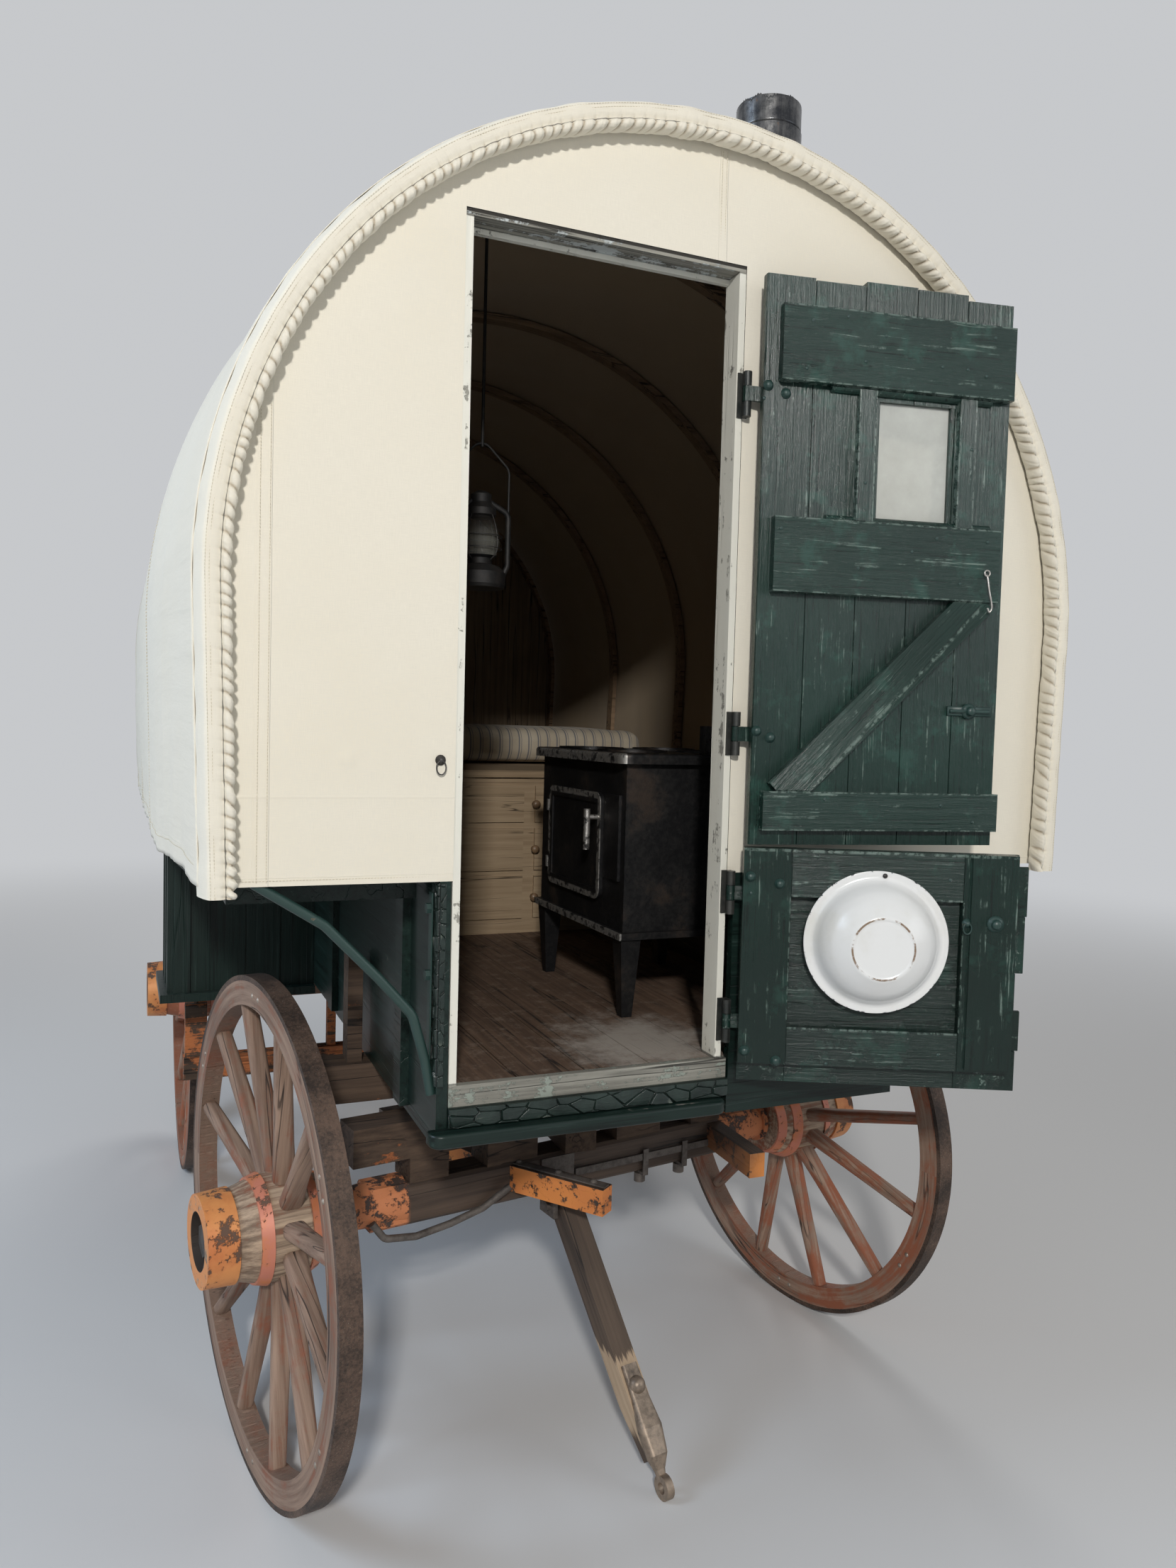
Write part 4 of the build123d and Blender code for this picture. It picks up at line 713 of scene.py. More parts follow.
# The canvas top is one sheet, laid over the bows and drawn down to the wings. It turns round the
# front hoop, where a casing gathers its edge into close puckers.
COVER_FOOT = 1.402
COVER_BACK = 3.395
COVER_GIRTH = 4.13
BAY_SAG = 0.011
BOW_MIDDLES = (0.03, 0.6825, 1.3425, 2.0025, 2.6625, 3.3275)
across_share = np.linspace(0, 1, 420)[None, :]
back = np.concatenate((np.linspace(0.0, 0.12, 10), np.linspace(0.14, COVER_BACK, 98)))[:, None]
cover_r = np.interp(back, (0.0, 0.55, 0.75, 2.80, 3.0, COVER_BACK),
                    (0.974, 1.0195, 1.0250, 1.0250, 1.0200, 0.977))
bay = np.interp(back, BOW_MIDDLES, np.arange(len(BOW_MIDDLES)))
hollow = np.sin(math.pi * bay) ** 2
from_foot = np.minimum(across_share, 1 - across_share)
upright = np.clip(from_foot / 0.16, 0, 1)
height_share = np.sin(math.pi * across_share)
sag = hollow * (BAY_SAG * height_share ** 2 - 0.004 * (1 - upright) * upright * 4)
strain = 0.0035 * ripple(back * 1.3 + across_share * 3.0, 7, 0.25, 0.9) * hollow
wrinkles = ripple(back + 0.06 * np.sin(across_share * 9), 11, 0.07, 0.22)
strain = strain + 0.0030 * wrinkles * hollow * (1 - height_share ** 2)
front_fade = np.exp(-back / 0.14) * np.clip(back / 0.02, 0, 1)
tug = 0.0012 * (1 + ripple(across_share * 4.1, 8, 0.05, 0.16)) * front_fade
tug = tug + 0.004 * ripple(back, 9, 0.09, 0.3) * np.clip(1 - from_foot / 0.035, 0, 1)
foot_z = COVER_FOOT + 0.006 * ripple(back, 10, 0.4, 1.2)
cover_x, cover_z, out_x, out_z = hoop(across_share, cover_r, foot_z)
shift = tug + strain - sag
cover_x = cover_x + out_x * shift
cover_z = cover_z + out_z * shift
cover_points = grid(cover_x, FRONT_Y + back, cover_z)
cover_mesh = woven("cover", cover_points, grid(across_share * COVER_GIRTH, back))
PIPE_AT = np.array((0.285, 0.265 + FRONT_Y))
PIPE_HOLE_R = 0.083
shaper = bmesh.new()
shaper.from_mesh(cover_mesh)
near_pipe = [v for v in shaper.verts if v.co.z > 2.4 and (v.co.xy - Vector(PIPE_AT)).length < PIPE_HOLE_R]
bmesh.ops.delete(shaper, geom=near_pipe, context="VERTS")
shaper.to_mesh(cover_mesh)
shaper.free()
SEAMS_BACK = (0.870, 1.740, 2.610)
f = duck("cover_canvas", CREAM)
cloth_u, cloth_v = (f.part(f.place, axis) for axis in range(2))
lapped = cloth_u.between(0.0440, 0.0420).most(cloth_u.between(4.0860, 4.0880))
lapped = lapped.most(cloth_v.between(3.3560, 3.3580))
for seam_back in SEAMS_BACK:
    lapped = lapped.most(cloth_v.between(seam_back - 0.0100, seam_back - 0.0085)
                         * (1 - cloth_v.between(seam_back + 0.0085, seam_back + 0.0100)))
pulled = f.noise(f.stretched((14.0, 1.5, 1.0)), 1.0, 4.0, 0.55)
grey_dust = f.noise(f.stretched((1.4, 0.7, 1.0)), 1.0, 6.0, 0.65).between(0.48, 0.72)
plain_cloth = f.fed("Base Color")
cloth_relief = f.fed("Normal")
f.set(Base_Color=f.blend(grey_dust * 0.5, plain_cloth, (0.66, 0.62, 0.53)))
seam_relief = f.node("ShaderNodeBump", None, {"Height": lapped, "Distance": 0.0012, "Normal": cloth_relief})
f.set(Normal=f.node("ShaderNodeBump", None, {"Height": pulled, "Distance": 0.006, "Normal": seam_relief}))
cover = put("canvas_cover", cover_mesh, f, "root")
# The inner face is a darker brown, for smoke from the stove and as painted shade inside the cabin.
cover.data.materials.append(duck("smoked_and_shaded_canvas", (0.40, 0.30, 0.185)).material)
thickness = cover.modifiers.new("cloth", "SOLIDIFY")
thickness.thickness = 0.0015
thickness.material_offset = 1
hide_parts("canvas_top")

# The brim is the cover's front edge: a smooth band that rolls round the hoop, a groove where the
# casing is sewn, and the casing itself, shirred into plump slanting puckers.
BRIM_INNER = 0.912
BRIM_FOOT = 1.380
BRIM_GIRTH = 4.08
PUCKER = 0.0245
brim_profile = np.array((
    # millimetres out from the inner edge, and back from the front wall
    (62.5, 14), (60.5, 2), (56, -16), (50.5, -32), (47, -38.5),
    (40, -41.5), (26, -41.5), (17.8, -36.5), (16, -40), (12.5, -45),
    (6, -45.5), (1.5, -40.5), (0, -32), (1, -18), (4, -6), (12, 0))) / 1000
steps = np.concatenate(([0], np.cumsum(np.linalg.norm(np.diff(brim_profile, axis=0), axis=1))))
GROOVE = steps[7]
along_profile = np.concatenate((np.linspace(0, GROOVE, 20)[:-1], np.linspace(GROOVE, steps[-1], 26)))
profile_out = np.interp(along_profile, steps, brim_profile[:, 0])[:, None]
profile_y = np.interp(along_profile, steps, brim_profile[:, 1])[:, None]
slope_out = np.gradient(profile_out[:, 0])[:, None]
slope_y = np.gradient(profile_y[:, 0])[:, None]
slope = np.hypot(slope_out, slope_y)
face_out, face_y = -slope_y / slope, slope_out / slope
brim_share = np.linspace(0, 1, 2150)[None, :]
brim_length = brim_share * BRIM_GIRTH
end_flare = np.clip(1 - np.minimum(brim_share, 1 - brim_share) / 0.035, 0, 1) ** 2
beads = brim_length / PUCKER + 0.42 * ripple(brim_length, 21, 0.10, 0.4) - 1.2 * end_flare
in_casing = np.clip((along_profile - GROOVE) / (steps[-1] - GROOVE), 0, 1)[:, None]
lean = (0.75 + 0.55 * ripple(brim_length, 22, 0.06, 0.3)) * in_casing
gather = np.abs(np.sin(math.pi * (beads + lean))) ** 0.62
# depths of the puckers, in millimetres
casing_depth = np.interp(along_profile, steps[[7, 8, 9, 11, 13, 15]],
                         (1.2, 5.4, 9.0, 8.0, 4.0, 0.0), left=0)[:, None]
band_depth = np.interp(GROOVE - along_profile, (0.0, 0.006, 0.022), (3.2, 2.2, 0.0), left=0)[:, None]
plump = 0.85 + 0.30 * ripple(brim_length, 24, 0.05, 0.25)
fine = 0.5 * ripple(brim_length + 0.5 * along_profile[:, None], 23, 0.007, 0.015, 12)
push = 0.001 * plump * (casing_depth * (gather - 0.85) + (casing_depth * 0.20 + band_depth * 0.35) * fine
                        - band_depth * (1 - gather) ** 1.2)
push = push * (1 + 1.2 * end_flare) + 0.0012 * ripple(brim_length, 25, 0.08, 0.3)
brim_r = BRIM_INNER + profile_out + face_out * push
brim_x, brim_z = hoop(brim_share, brim_r, BRIM_FOOT)[:2]
brim_y = FRONT_Y + profile_y + face_y * push
f = duck("brim_canvas", CREAM)
brim_v = f.part(f.place, 1)
# A thin wavy line along the sewn groove is darkened.
wavering = f.noise(f.place, 40.0, 2.0) * 0.003 - 0.0015
from_groove = abs(brim_v + wavering - float(GROOVE))
dark_groove_line = from_groove.between(0.0003, 0.0016)
plain_cloth = f.fed("Base Color")
# The valleys between the puckers are darkened: painted shade.
shaded_valleys = f.node("ShaderNodeAttribute", {"attribute_name": "valley_shade"}, out=2)
plain_cloth = f.blend(shaded_valleys.between(0.25, 0.95), plain_cloth, (0.42, 0.35, 0.25))
f.set(Base_Color=f.blend(dark_groove_line, shade(CREAM, 0.18), plain_cloth))
brim_mesh = woven("canvas_brim", grid(brim_x, brim_y, brim_z), grid(brim_length, along_profile[:, None]),
                  turned=True)
# how deep each point lies in a pucker's valley, for the painted shade
valley_shade = (1 - gather) * np.clip(casing_depth / 5.0 + band_depth / 5.0, 0, 1)
brim_mesh.attributes.new("valley_shade", "FLOAT", "POINT").data.foreach_set("value", valley_shade.ravel())
brim = put("canvas_brim", brim_mesh, f, "root")


# Stitches of linen thread: the front panel is doubled at its seams and sewn down with two rows, and
# so are the band of the brim and the seams of the canvas top. Its hems have one row.
def triangles(*corners):
    """Triangles from three arrays or single numbers of points, one for each corner."""
    return grid(*corners).reshape(-1, 3)


def lathe(profile, sides):
    """A turned form about z from rings of (radius, height) in millimetres, of which the first and last
    have radius 0. A ring's point is (r cos a, r sin a, height). Returns points and triangles."""
    profile = np.asarray(profile, float) / 1000
    radius, height = profile[1:-1].T[..., None]
    angle = 2 * math.pi * np.arange(sides) / sides
    ring = grid(radius * np.cos(angle), radius * np.sin(angle), height)
    points = np.concatenate(([[0, 0, profile[0, 1]]], ring.reshape(-1, 3), [[0, 0, profile[-1, 1]]]))
    first = 1 + np.arange(sides)
    after = 1 + (np.arange(sides) + 1) % sides
    levels = np.arange(len(profile) - 3)[:, None] * sides
    low, low_next = first + levels, after + levels
    high, high_next = low + sides, low_next + sides
    top = len(points) - 1
    last = (len(profile) - 3) * sides
    fans = triangles(0, after, first), triangles(top, first + last, after + last)
    walls = triangles(low, low_next, high_next), triangles(low, high_next, high)
    return points, np.concatenate(fans + walls)


def unit(rows):
    """Directions of length 1, one in each row."""
    return rows / np.linalg.norm(rows, axis=1)[:, None]


def facing(axis, up=(0, 0, 1)):
    """Three directions as columns: the last along an axis, the second near up."""
    axis = np.asarray(axis, float) / np.linalg.norm(axis)
    side = np.cross(up, axis)
    side = side / np.linalg.norm(side)
    return grid(side, np.cross(axis, side), axis)


def stamped(name, forms, finish, body, smooth=True):
    """One piece from small forms, each repeated at its places: point = place + frame times point."""
    all_points, all_faces, total = [], [], 0
    for (points, faces), places, frame_of in forms:
        places = np.asarray(places, float).reshape(-1, 3)
        moved = places[:, None, :] + np.einsum("...ij,kj->...ki", frame_of, points)
        count = len(points) * np.arange(len(places))[:, None, None]
        all_points.append(moved.reshape(-1, 3))
        all_faces.append((faces[None] + count + total).reshape(-1, 3))
        total += len(points) * len(places)
    mesh = bpy.data.meshes.new(name)
    mesh.from_pydata(np.concatenate(all_points).tolist(), [], np.concatenate(all_faces).tolist())
    if smooth:
        mesh.shade_smooth()
    return put(name, mesh, finish, body)


STITCH = lathe(((0, -2.1), (0.45, -1.764), (0.6, -0.84), (0.6, 0.84), (0.45, 1.764), (0, 2.1)), 6)
STITCH_PITCH = 0.0058


def stitch_row(start, end):
    """Stitches along a straight row, as a form, its places and its frame."""
    start, end = np.array(start), np.array(end)
    count = int(np.linalg.norm(end - start) / STITCH_PITCH)
    places = start + (end - start) * (np.arange(count)[:, None] + 0.5) / count
    return STITCH, places, facing(end - start, (0, -1, 0))


sewn_y = FRONT_Y + 0.0018
seam_rows = [stitch_row((x, sewn_y, z), (end_x, sewn_y, end_z)) for x, z, end_x, end_z in (
    # the panel's left seam, its seam over the door, and its foot
    (-0.8625, 1.40, -0.8625, 2.235), (-0.8455, 1.40, -0.8455, 2.235),
    (0.024, 2.656, 0.024, 2.850), (0.034, 2.656, 0.034, 2.850),
    (-0.935, 1.404, -0.515, 1.404))]
for stitch_r in (0.9555, 0.9485):
    count = int(BRIM_GIRTH / STITCH_PITCH)
    row_share = (np.arange(count) + 0.5) / count
    row_x, row_z = hoop(row_share, stitch_r, BRIM_FOOT)[:2]
    row_points = grid(row_x, FRONT_Y - 0.0412, row_z)
    heading = unit(np.gradient(row_points, axis=0))
    toward = np.array((0.0, -1.0, 0.0))
    seam_rows.append((STITCH, row_points, grid(np.cross(toward, heading), toward, heading)))
HEM_STITCH = lathe(((0, -2.8), (0.7, -1.68), (0.7, 1.68), (0, 2.8)), 4)
COVER_PITCH = 0.0080


def cover_row(shares, backs):
    """Stitches on the canvas top, at shares of its hoop and distances back, lying on its surface."""
    at_row = np.interp(backs, back[:, 0], np.arange(len(back)))
    at_column = np.asarray(shares) * (across_share.size - 1)
    low_row = np.clip(at_row.astype(int), 0, len(back) - 2)
    low_column = np.clip(at_column.astype(int), 0, across_share.size - 2)
    row_part, column_part = at_row - low_row, at_column - low_column
    points = 0
    for row_step, row_weight in ((0, 1 - row_part), (1, row_part)):
        for column_step, column_weight in ((0, 1 - column_part), (1, column_part)):
            corner = cover_points[low_row + row_step, low_column + column_step]
            points = points + (row_weight * column_weight)[:, None] * corner
    heading = unit(np.gradient(points, axis=0))
    toward = unit(points - np.column_stack((0 * backs, points[:, 1], np.minimum(points[:, 2], HOOP_Z))))
    side = np.cross(toward, heading)
    return HEM_STITCH, points + toward * 0.0011, grid(side, np.cross(heading, side), heading)


for seam_back in SEAMS_BACK:
    for beside in (-0.0065, 0.0065):
        row_share = np.arange(0.004, 0.996, COVER_PITCH / COVER_GIRTH)
        seam_rows.append(cover_row(row_share, np.full(row_share.size, seam_back + beside)))
for hem_share in (0.0085, 0.9915):
    row_back = np.arange(0.03, 3.36, COVER_PITCH)
    seam_rows.append(cover_row(np.full(row_back.size, hem_share), row_back))
BACK_HEM = 3.366
row_share = np.arange(0.010, 0.990, COVER_PITCH / COVER_GIRTH)
seam_rows.append(cover_row(row_share, np.full(row_share.size, BACK_HEM)))
f = Finish("linen_thread")
thread_twist = f.noise(f.place, 900.0, 2.0, 0.6)
f.set(Base_Color=f.blend(thread_twist, (0.56, 0.50, 0.38), (0.72, 0.66, 0.53)), Roughness=0.8)
stamped("canvas_stitches", seam_rows, f, "root")


# Turn-latch: a small turned plate of iron with a hanging ring, fixed to the front wall left of the
# doorway. Its ring is a bent wire.
def wire(points, radius, closed=False):
    """A round wire along a smooth curve through a few points (Catmull-Rom). At each step a circle of
    the radius stands across the curve's direction. Its ends are closed to a point."""
    sides, steps = 8, 12
    points = np.asarray(points, float)
    if closed:
        before, after = points[-1:], points[:2]
    else:
        before, after = 2 * points[:1] - points[1:2], 2 * points[-1:] - points[-2:-1]
    p = np.concatenate((before, points, after))
    t = np.linspace(0, 1, steps, endpoint=False)[None, :, None]
    a, b, c, d = (p[i:len(p) - 3 + i, None, :] for i in range(4))
    curve = 0.5 * (2 * b + (c - a) * t + (2 * a - 5 * b + 4 * c - d) * t ** 2
                   + (3 * b - a - 3 * c + d) * t ** 3)
    curve = curve.reshape(-1, 3)
    curve = np.concatenate((curve, curve[:1] if closed else points[-1:]))
    along = np.gradient(curve, axis=0)
    if closed:
        along[0] = along[-1] = curve[1] - curve[-2]
    along = unit(along)
    spread = np.ptp(curve, axis=0)
    over = np.eye(3)[int(np.argmin(spread))]
    side = np.cross(along, over)
    side = side / np.maximum(np.linalg.norm(side, axis=1)[:, None], 1e-9)
    other = np.cross(side, along)
    angle = 2 * math.pi * np.arange(sides) / sides
    rays = side[:, None] * np.cos(angle)[:, None] + other[:, None] * np.sin(angle)[:, None]
    ring = curve[:, None] + radius * rays
    number = np.arange(len(curve) * sides).reshape(len(curve), sides)
    low, high = number[:-1], number[1:]
    low_next, high_next = np.roll(low, -1, 1), np.roll(high, -1, 1)
    faces = [triangles(low, low_next, high_next), triangles(low, high_next, high)]
    body = ring.reshape(-1, 3)
    if not closed:
        faces.append(triangles(len(body), low_next[0], low[0]))
        faces.append(triangles(len(body) + 1, high[-1], high_next[-1]))
        body = np.concatenate((body, curve[[0, -1]]))
    return body, np.concatenate(faces)[:, ::-1]


def loop_of(centre, across, up, count=10):
    """Points round a circle or oval, from its two half axes."""
    angle = 2 * math.pi * np.arange(count)[:, None] / count
    return np.asarray(centre) + np.cos(angle) * np.asarray(across) + np.sin(angle) * np.asarray(up)


AS_PLACED = ([(0, 0, 0)], np.eye(3))
latch_at = np.array((-0.534, FRONT_Y + 0.001, 1.622))
latch_plate = lathe(((0, 0), (10, 0), (10, 2), (6, 3.5), (4.5, 9), (0, 10)), 16)
latch_ring = wire(loop_of(latch_at + (0, -0.008, -0.014), (0.009, 0, 0), (0, 0, 0.013)), 0.0014, closed=True)
dark_iron = iron("dark_iron", (0.10, 0.095, 0.09), (0.03, 0.028, 0.026), rough=0.45, metal=0.6)
stamped("turn_latch", [(latch_plate, [latch_at], facing((0, -1, 0))), (latch_ring, *AS_PLACED)],
        dark_iron, "root")


# Door irons: painted bolts and nails where the battens, rails and hinge leaves are fixed, a slide
# latch, and a bright wire hook. Beads stand along the battens and the glass.
def leaf_frame(open_deg):
    """The directions of a leaf's x, y and z as columns, with the leaf open by an angle."""
    c, s = math.cos(math.radians(open_deg)), math.sin(math.radians(open_deg))
    return np.array(((c, -s, 0), (s, c, 0), (0, 0, 1)))


def hung(open_deg, *rows):
    """Forms, places and frames in leaf coordinates, put in the wagon's."""
    turn = leaf_frame(open_deg)
    return [(form, np.asarray(HINGE) + np.asarray(places, float) @ turn.T, turn @ frame_of)
            for form, places, frame_of in rows]


def bar(section, length):
    """A straight bar: its section, counter-clockwise, carried along z and closed at both ends."""
    section = np.asarray(section, float)
    count = len(section)
    ends = [np.column_stack((section, np.full(count, z))) for z in (0.0, length)]
    middles = [np.append(section.mean(0), z)[None] for z in (0.0, length)]
    low = np.arange(count)
    after = (low + 1) % count
    walls = triangles(low, after, after + count), triangles(low, after + count, low + count)
    closed = triangles(2 * count, after, low), triangles(2 * count + 1, low + count, after + count)
    return np.concatenate((*ends, *middles)), np.concatenate(walls + closed)


def eased(width, thick, ease):
    """A rectangle about 0 with its corners cut, as a bar's section."""
    w, t = width / 2, thick / 2
    return ((-w + ease, -t), (w - ease, -t), (w, -t + ease), (w, t - ease),
            (w - ease, t), (-w + ease, t), (-w, t - ease), (-w, -t + ease))


BOLT = lathe(((0, -1), (10.5, -1), (11, 1), (8, 2.2), (7.6, 5), (5, 7.8), (0, 8.6)), 18)
NAIL = lathe(((0, -1), (3.4, -1), (3.6, 0.4), (2.2, 1.4), (0, 1.7)), 10)
BOARD_Y = 0.034
BATTEN_Y = 0.056
upper_bolts = [(x, BOARD_Y, z) for x, z in (
    (-0.032, 2.386), (-0.070, 2.373), (-0.032, 1.692), (-0.062, 1.679))]
upper_nails = [(x, BATTEN_Y, z) for x, z in (
    (-0.520, 2.520), (-0.460, 2.450), (-0.503, 2.440), (-0.190, 2.530), (-0.114, 2.515), (-0.104, 2.420),
    (-0.231, 2.445), (-0.274, 2.500), (-0.402, 2.450), (-0.523, 2.100), (-0.4625, 2.010), (-0.061, 2.100),
    (-0.231, 2.030), (-0.350, 2.070), (-0.405, 2.100), (-0.440, 1.545), (-0.516, 1.510), (-0.177, 1.555))]
upper_nails += [(-0.482, BOARD_Y + 0.014, 2.290), (-0.244, BOARD_Y + 0.014, 2.205), (-0.024, BOARD_Y, 2.360)]
lower_bolts = [(x, BOARD_Y, z) for x, z in (
    (-0.037, 1.394), (-0.097, 1.381), (-0.101, 1.014), (-0.036, 1.0325))]
lower_nails = [(x, BOARD_Y, z) for x, z in (
    (-0.039, 1.360), (-0.196, 1.377), (-0.204, 1.012), (-0.440, 1.400), (-0.430, 1.040))]
outward = facing((0, 1, 0))
KNOB = lathe(((0, -1), (16.5, -1), (17, 2), (12, 4), (8.5, 7.5), (10, 12.5), (6, 16), (0, 17)), 24)
SLIDE_Z = 1.745
latch_bar = bar(eased(0.0200, 0.0050, 0.0015), 0.102)
latch_rod = wire([(x, 0.0410, SLIDE_Z) for x in (-0.553, -0.530, -0.480, -0.461)], 0.0042)
bead = ((0, 0), (0.013, 0), (0.012, 0.006), (0.008, 0.011), (0.003, 0.0138), (0, 0.014))
bead_up = facing((-1, 0, 0), (0, 1, 0))
bead_down = facing((1, 0, 0), (0, 1, 0))
stamped("upper_door_irons", hung(
    UPPER_OPEN,
    (BOLT, upper_bolts, outward),
    (NAIL, upper_nails, outward),
    (latch_bar, [(-0.559, BOARD_Y + 0.0020, SLIDE_Z)], facing((1, 0, 0), (0, 1, 0))),
    (latch_rod, *AS_PLACED),
    (KNOB, [(-0.506, BOARD_Y + 0.004, SLIDE_Z)], outward),
), green_iron, "door_upper")
glass_bead = bar(eased(0.010, 0.012, 0.002), 0.245)
stamped("upper_door_beads", hung(
    UPPER_OPEN,
    (bar(bead, 0.362), [(-0.527, BOARD_Y - 0.0005, 2.3955)], bead_down),
    (bar(bead, 0.371), [(-0.163, BOARD_Y - 0.0005, 2.1245)], bead_up),
    (glass_bead, [(-0.443, 0.028, 2.130), (-0.273, 0.028, 2.130)], np.eye(3)),
), upper_green, "door_upper", smooth=False)
lower_ring = wire(loop_of((-0.4765, 0.0405, 1.303), (0.008, 0, 0), (0, 0, 0.011)), 0.0014, closed=True)
stamped("lower_door_irons", hung(
    LOWER_OPEN,
    (BOLT, lower_bolts, outward),
    (NAIL, lower_nails, outward),
    (KNOB, [(-0.532, 0.0385, 1.314)], outward),
    (latch_plate, [(-0.4765, BOARD_Y, 1.313)], outward),
    (lower_ring, *AS_PLACED),
), green_iron, "door_lower")
bright_iron = iron("bright_iron", (0.62, 0.60, 0.56), (0.30, 0.27, 0.24), rough=0.34, metal=0.9)
hook_line = (
    (-0.520, 0.0570, 2.034), (-0.521, 0.0640, 2.026), (-0.525, 0.0655, 2.000), (-0.532, 0.0650, 1.972),
    (-0.5335, 0.0640, 1.960), (-0.5290, 0.0630, 1.954), (-0.5245, 0.0630, 1.962))
hook_eye = loop_of((-0.520, 0.0640, 2.034), (0.0060, 0, 0), (0, 0, 0.0060))
stamped("door_hook", hung(
    UPPER_OPEN,
    (wire(hook_line, 0.0020), *AS_PLACED),
    (wire(hook_eye, 0.0017, closed=True), *AS_PLACED),
), bright_iron, "door_upper")

# An enamelled steel basin hangs by its rim on a nail in the lower leaf, with its foot towards the
# viewer. It is spun from one sheet, and its rim is rolled.
BASIN_AT = (-0.295, BOARD_Y, 1.268)
basin_points = np.array((
    # radius and distance from the leaf, in millimetres: out along the inside to the rim, then back
    (40, 77), (62, 75.5), (70, 71.2), (83, 62.5), (96, 51.5), (107, 39), (115, 26),
    (120, 14), (126.5, 4.8), (134, 1.4), (142.5, 0.6), (145.5, 0.8), (146.8, 2.6), (145.8, 4.6),
    (142.5, 4.4), (134, 3.6), (127.5, 7), (122.5, 16), (117.2, 27.8), (109, 41), (97.8, 53.8),
    (84.2, 65.2), (72, 74), (66.5, 78.2), (62.5, 80.2), (59, 80), (56, 78.6), (40, 78.4)))
knots = np.arange(len(basin_points))
finer = np.linspace(0, len(basin_points) - 1, 5 * len(basin_points))
basin_line = np.stack([np.interp(finer, knots, basin_points[:, axis]) for axis in range(2)], -1)
for _ in range(3):
    basin_line[1:-1] = (basin_line[:-2] + 2 * basin_line[1:-1] + basin_line[2:]) / 4
basin_line = np.concatenate(([(0, basin_line[0, 1])], basin_line, [(0, basin_line[-1, 1])]))
f, local, (leaf_x, leaf_y, leaf_z) = leaf_finish("enamel", LOWER_OPEN)
across_basin = leaf_x - BASIN_AT[0]
up_basin = leaf_z - BASIN_AT[2]
basin_r = f.maths("POWER", across_basin * across_basin + up_basin * up_basin, 0.5)
chip_noise = f.noise(f.place, 55.0, 6.0, 0.7)
foot_ring = within(basin_r, 0.0592, 0.0632, 0.0008) * leaf_y.between(0.10, 0.11)
worn_foot = foot_ring * f.noise(f.place, 34.0, 5.0, 0.7).between(0.44, 0.56)
chipped_rim = basin_r.between(0.1440, 0.1452) * chip_noise.between(0.56, 0.59)
stain = f.noise(f.place, 7.0, 5.0, 0.65)
ware = f.blend(stain.between(0.45, 0.75), (0.74, 0.745, 0.735), (0.67, 0.665, 0.63))
ware = f.blend(worn_foot, ware, (0.22, 0.15, 0.10))
ware = f.blend(chipped_rim, ware, (0.035, 0.035, 0.045))
f.set(Base_Color=ware, Roughness=stain * 0.15 + 0.16)
f.relief(stain, 0.0008)
basin = stamped("basin_ware", hung(LOWER_OPEN, (lathe(basin_line, 128), [BASIN_AT], outward)),
                f, "door_lower")
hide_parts("basin")
stamped("basin_nail", hung(LOWER_OPEN, (NAIL, [(-0.308, BOARD_Y + 0.006, 1.405)], outward * 1.4)),
        dark_iron, "door_lower")


# The paint of the trim and of the left front corner has shrunk into small plates that curl up at
# their edges. The gaps between them are darkened as painted shade, and the curled edges are paled as
# painted highlights.
def crazed(u, v, plate_u, plate_v, seed):
    """Height from 0 to 1 of crazed paint: each point belongs to the nearest of a jittered grid of
    centres, and the height falls to 0 where the two nearest are equally far. Plates tilt at random."""
    draw = np.random.default_rng(seed)
    columns = int(np.ceil(np.ptp(u) / plate_u)) + 2
    rows = int(np.ceil(np.ptp(v) / plate_v)) + 2
    centre_u = (np.arange(columns)[:, None] + draw.uniform(-0.4, 0.4, (columns, rows))).ravel() - 0.5
    centre_v = (np.arange(rows)[None, :] + draw.uniform(-0.35, 0.35, (columns, rows))).ravel() - 0.5
    du = (u - u.min())[..., None] / plate_u - centre_u
    dv = (v - v.min())[..., None] / plate_v - centre_v
    away = np.hypot(du, dv)
    order = np.argsort(away, axis=-1)[..., :2]
    nearest, second = (np.take_along_axis(away, order[..., i:i + 1], -1)[..., 0] for i in range(2))
    tilt_u, tilt_v, lift = draw.uniform(-1, 1, (3, columns * rows))
    own = order[..., 0]
    own_u, own_v = (np.take_along_axis(d, order[..., :1], -1)[..., 0] for d in (du, dv))
    plate = 0.62 + 0.20 * lift[own] + 0.40 * (tilt_u[own] * own_u + tilt_v[own] * own_v)
    edge = np.clip((second - nearest) / 0.10, 0, 1)
    return np.clip(plate, 0, 1.1) * edge ** 0.6


f = Finish("crazed_green")
crazed_tone = f.noise(f.place, 14.0, 6.0, 0.7)
grain_on = f.noise(f.stretched((18.0, 160.0, 160.0)), 1.0, 5.0, 0.65)
crazed_coat = f.blend(crazed_tone.between(0.35, 0.7), (0.008, 0.016, 0.0135), (0.022, 0.038, 0.032))
pale_grain = grain_on.between(0.60, 0.75) * crazed_tone.between(0.5, 0.6)
crazed_coat = f.blend(pale_grain, crazed_coat, (0.12, 0.135, 0.11))
# painted shade: low places between the plates go near black
lift = f.node("ShaderNodeAttribute", {"attribute_name": "lift"}, out=2)
crazed_coat = f.blend(lift.between(0.30, 0.05), crazed_coat, (0.0025, 0.003, 0.0028))
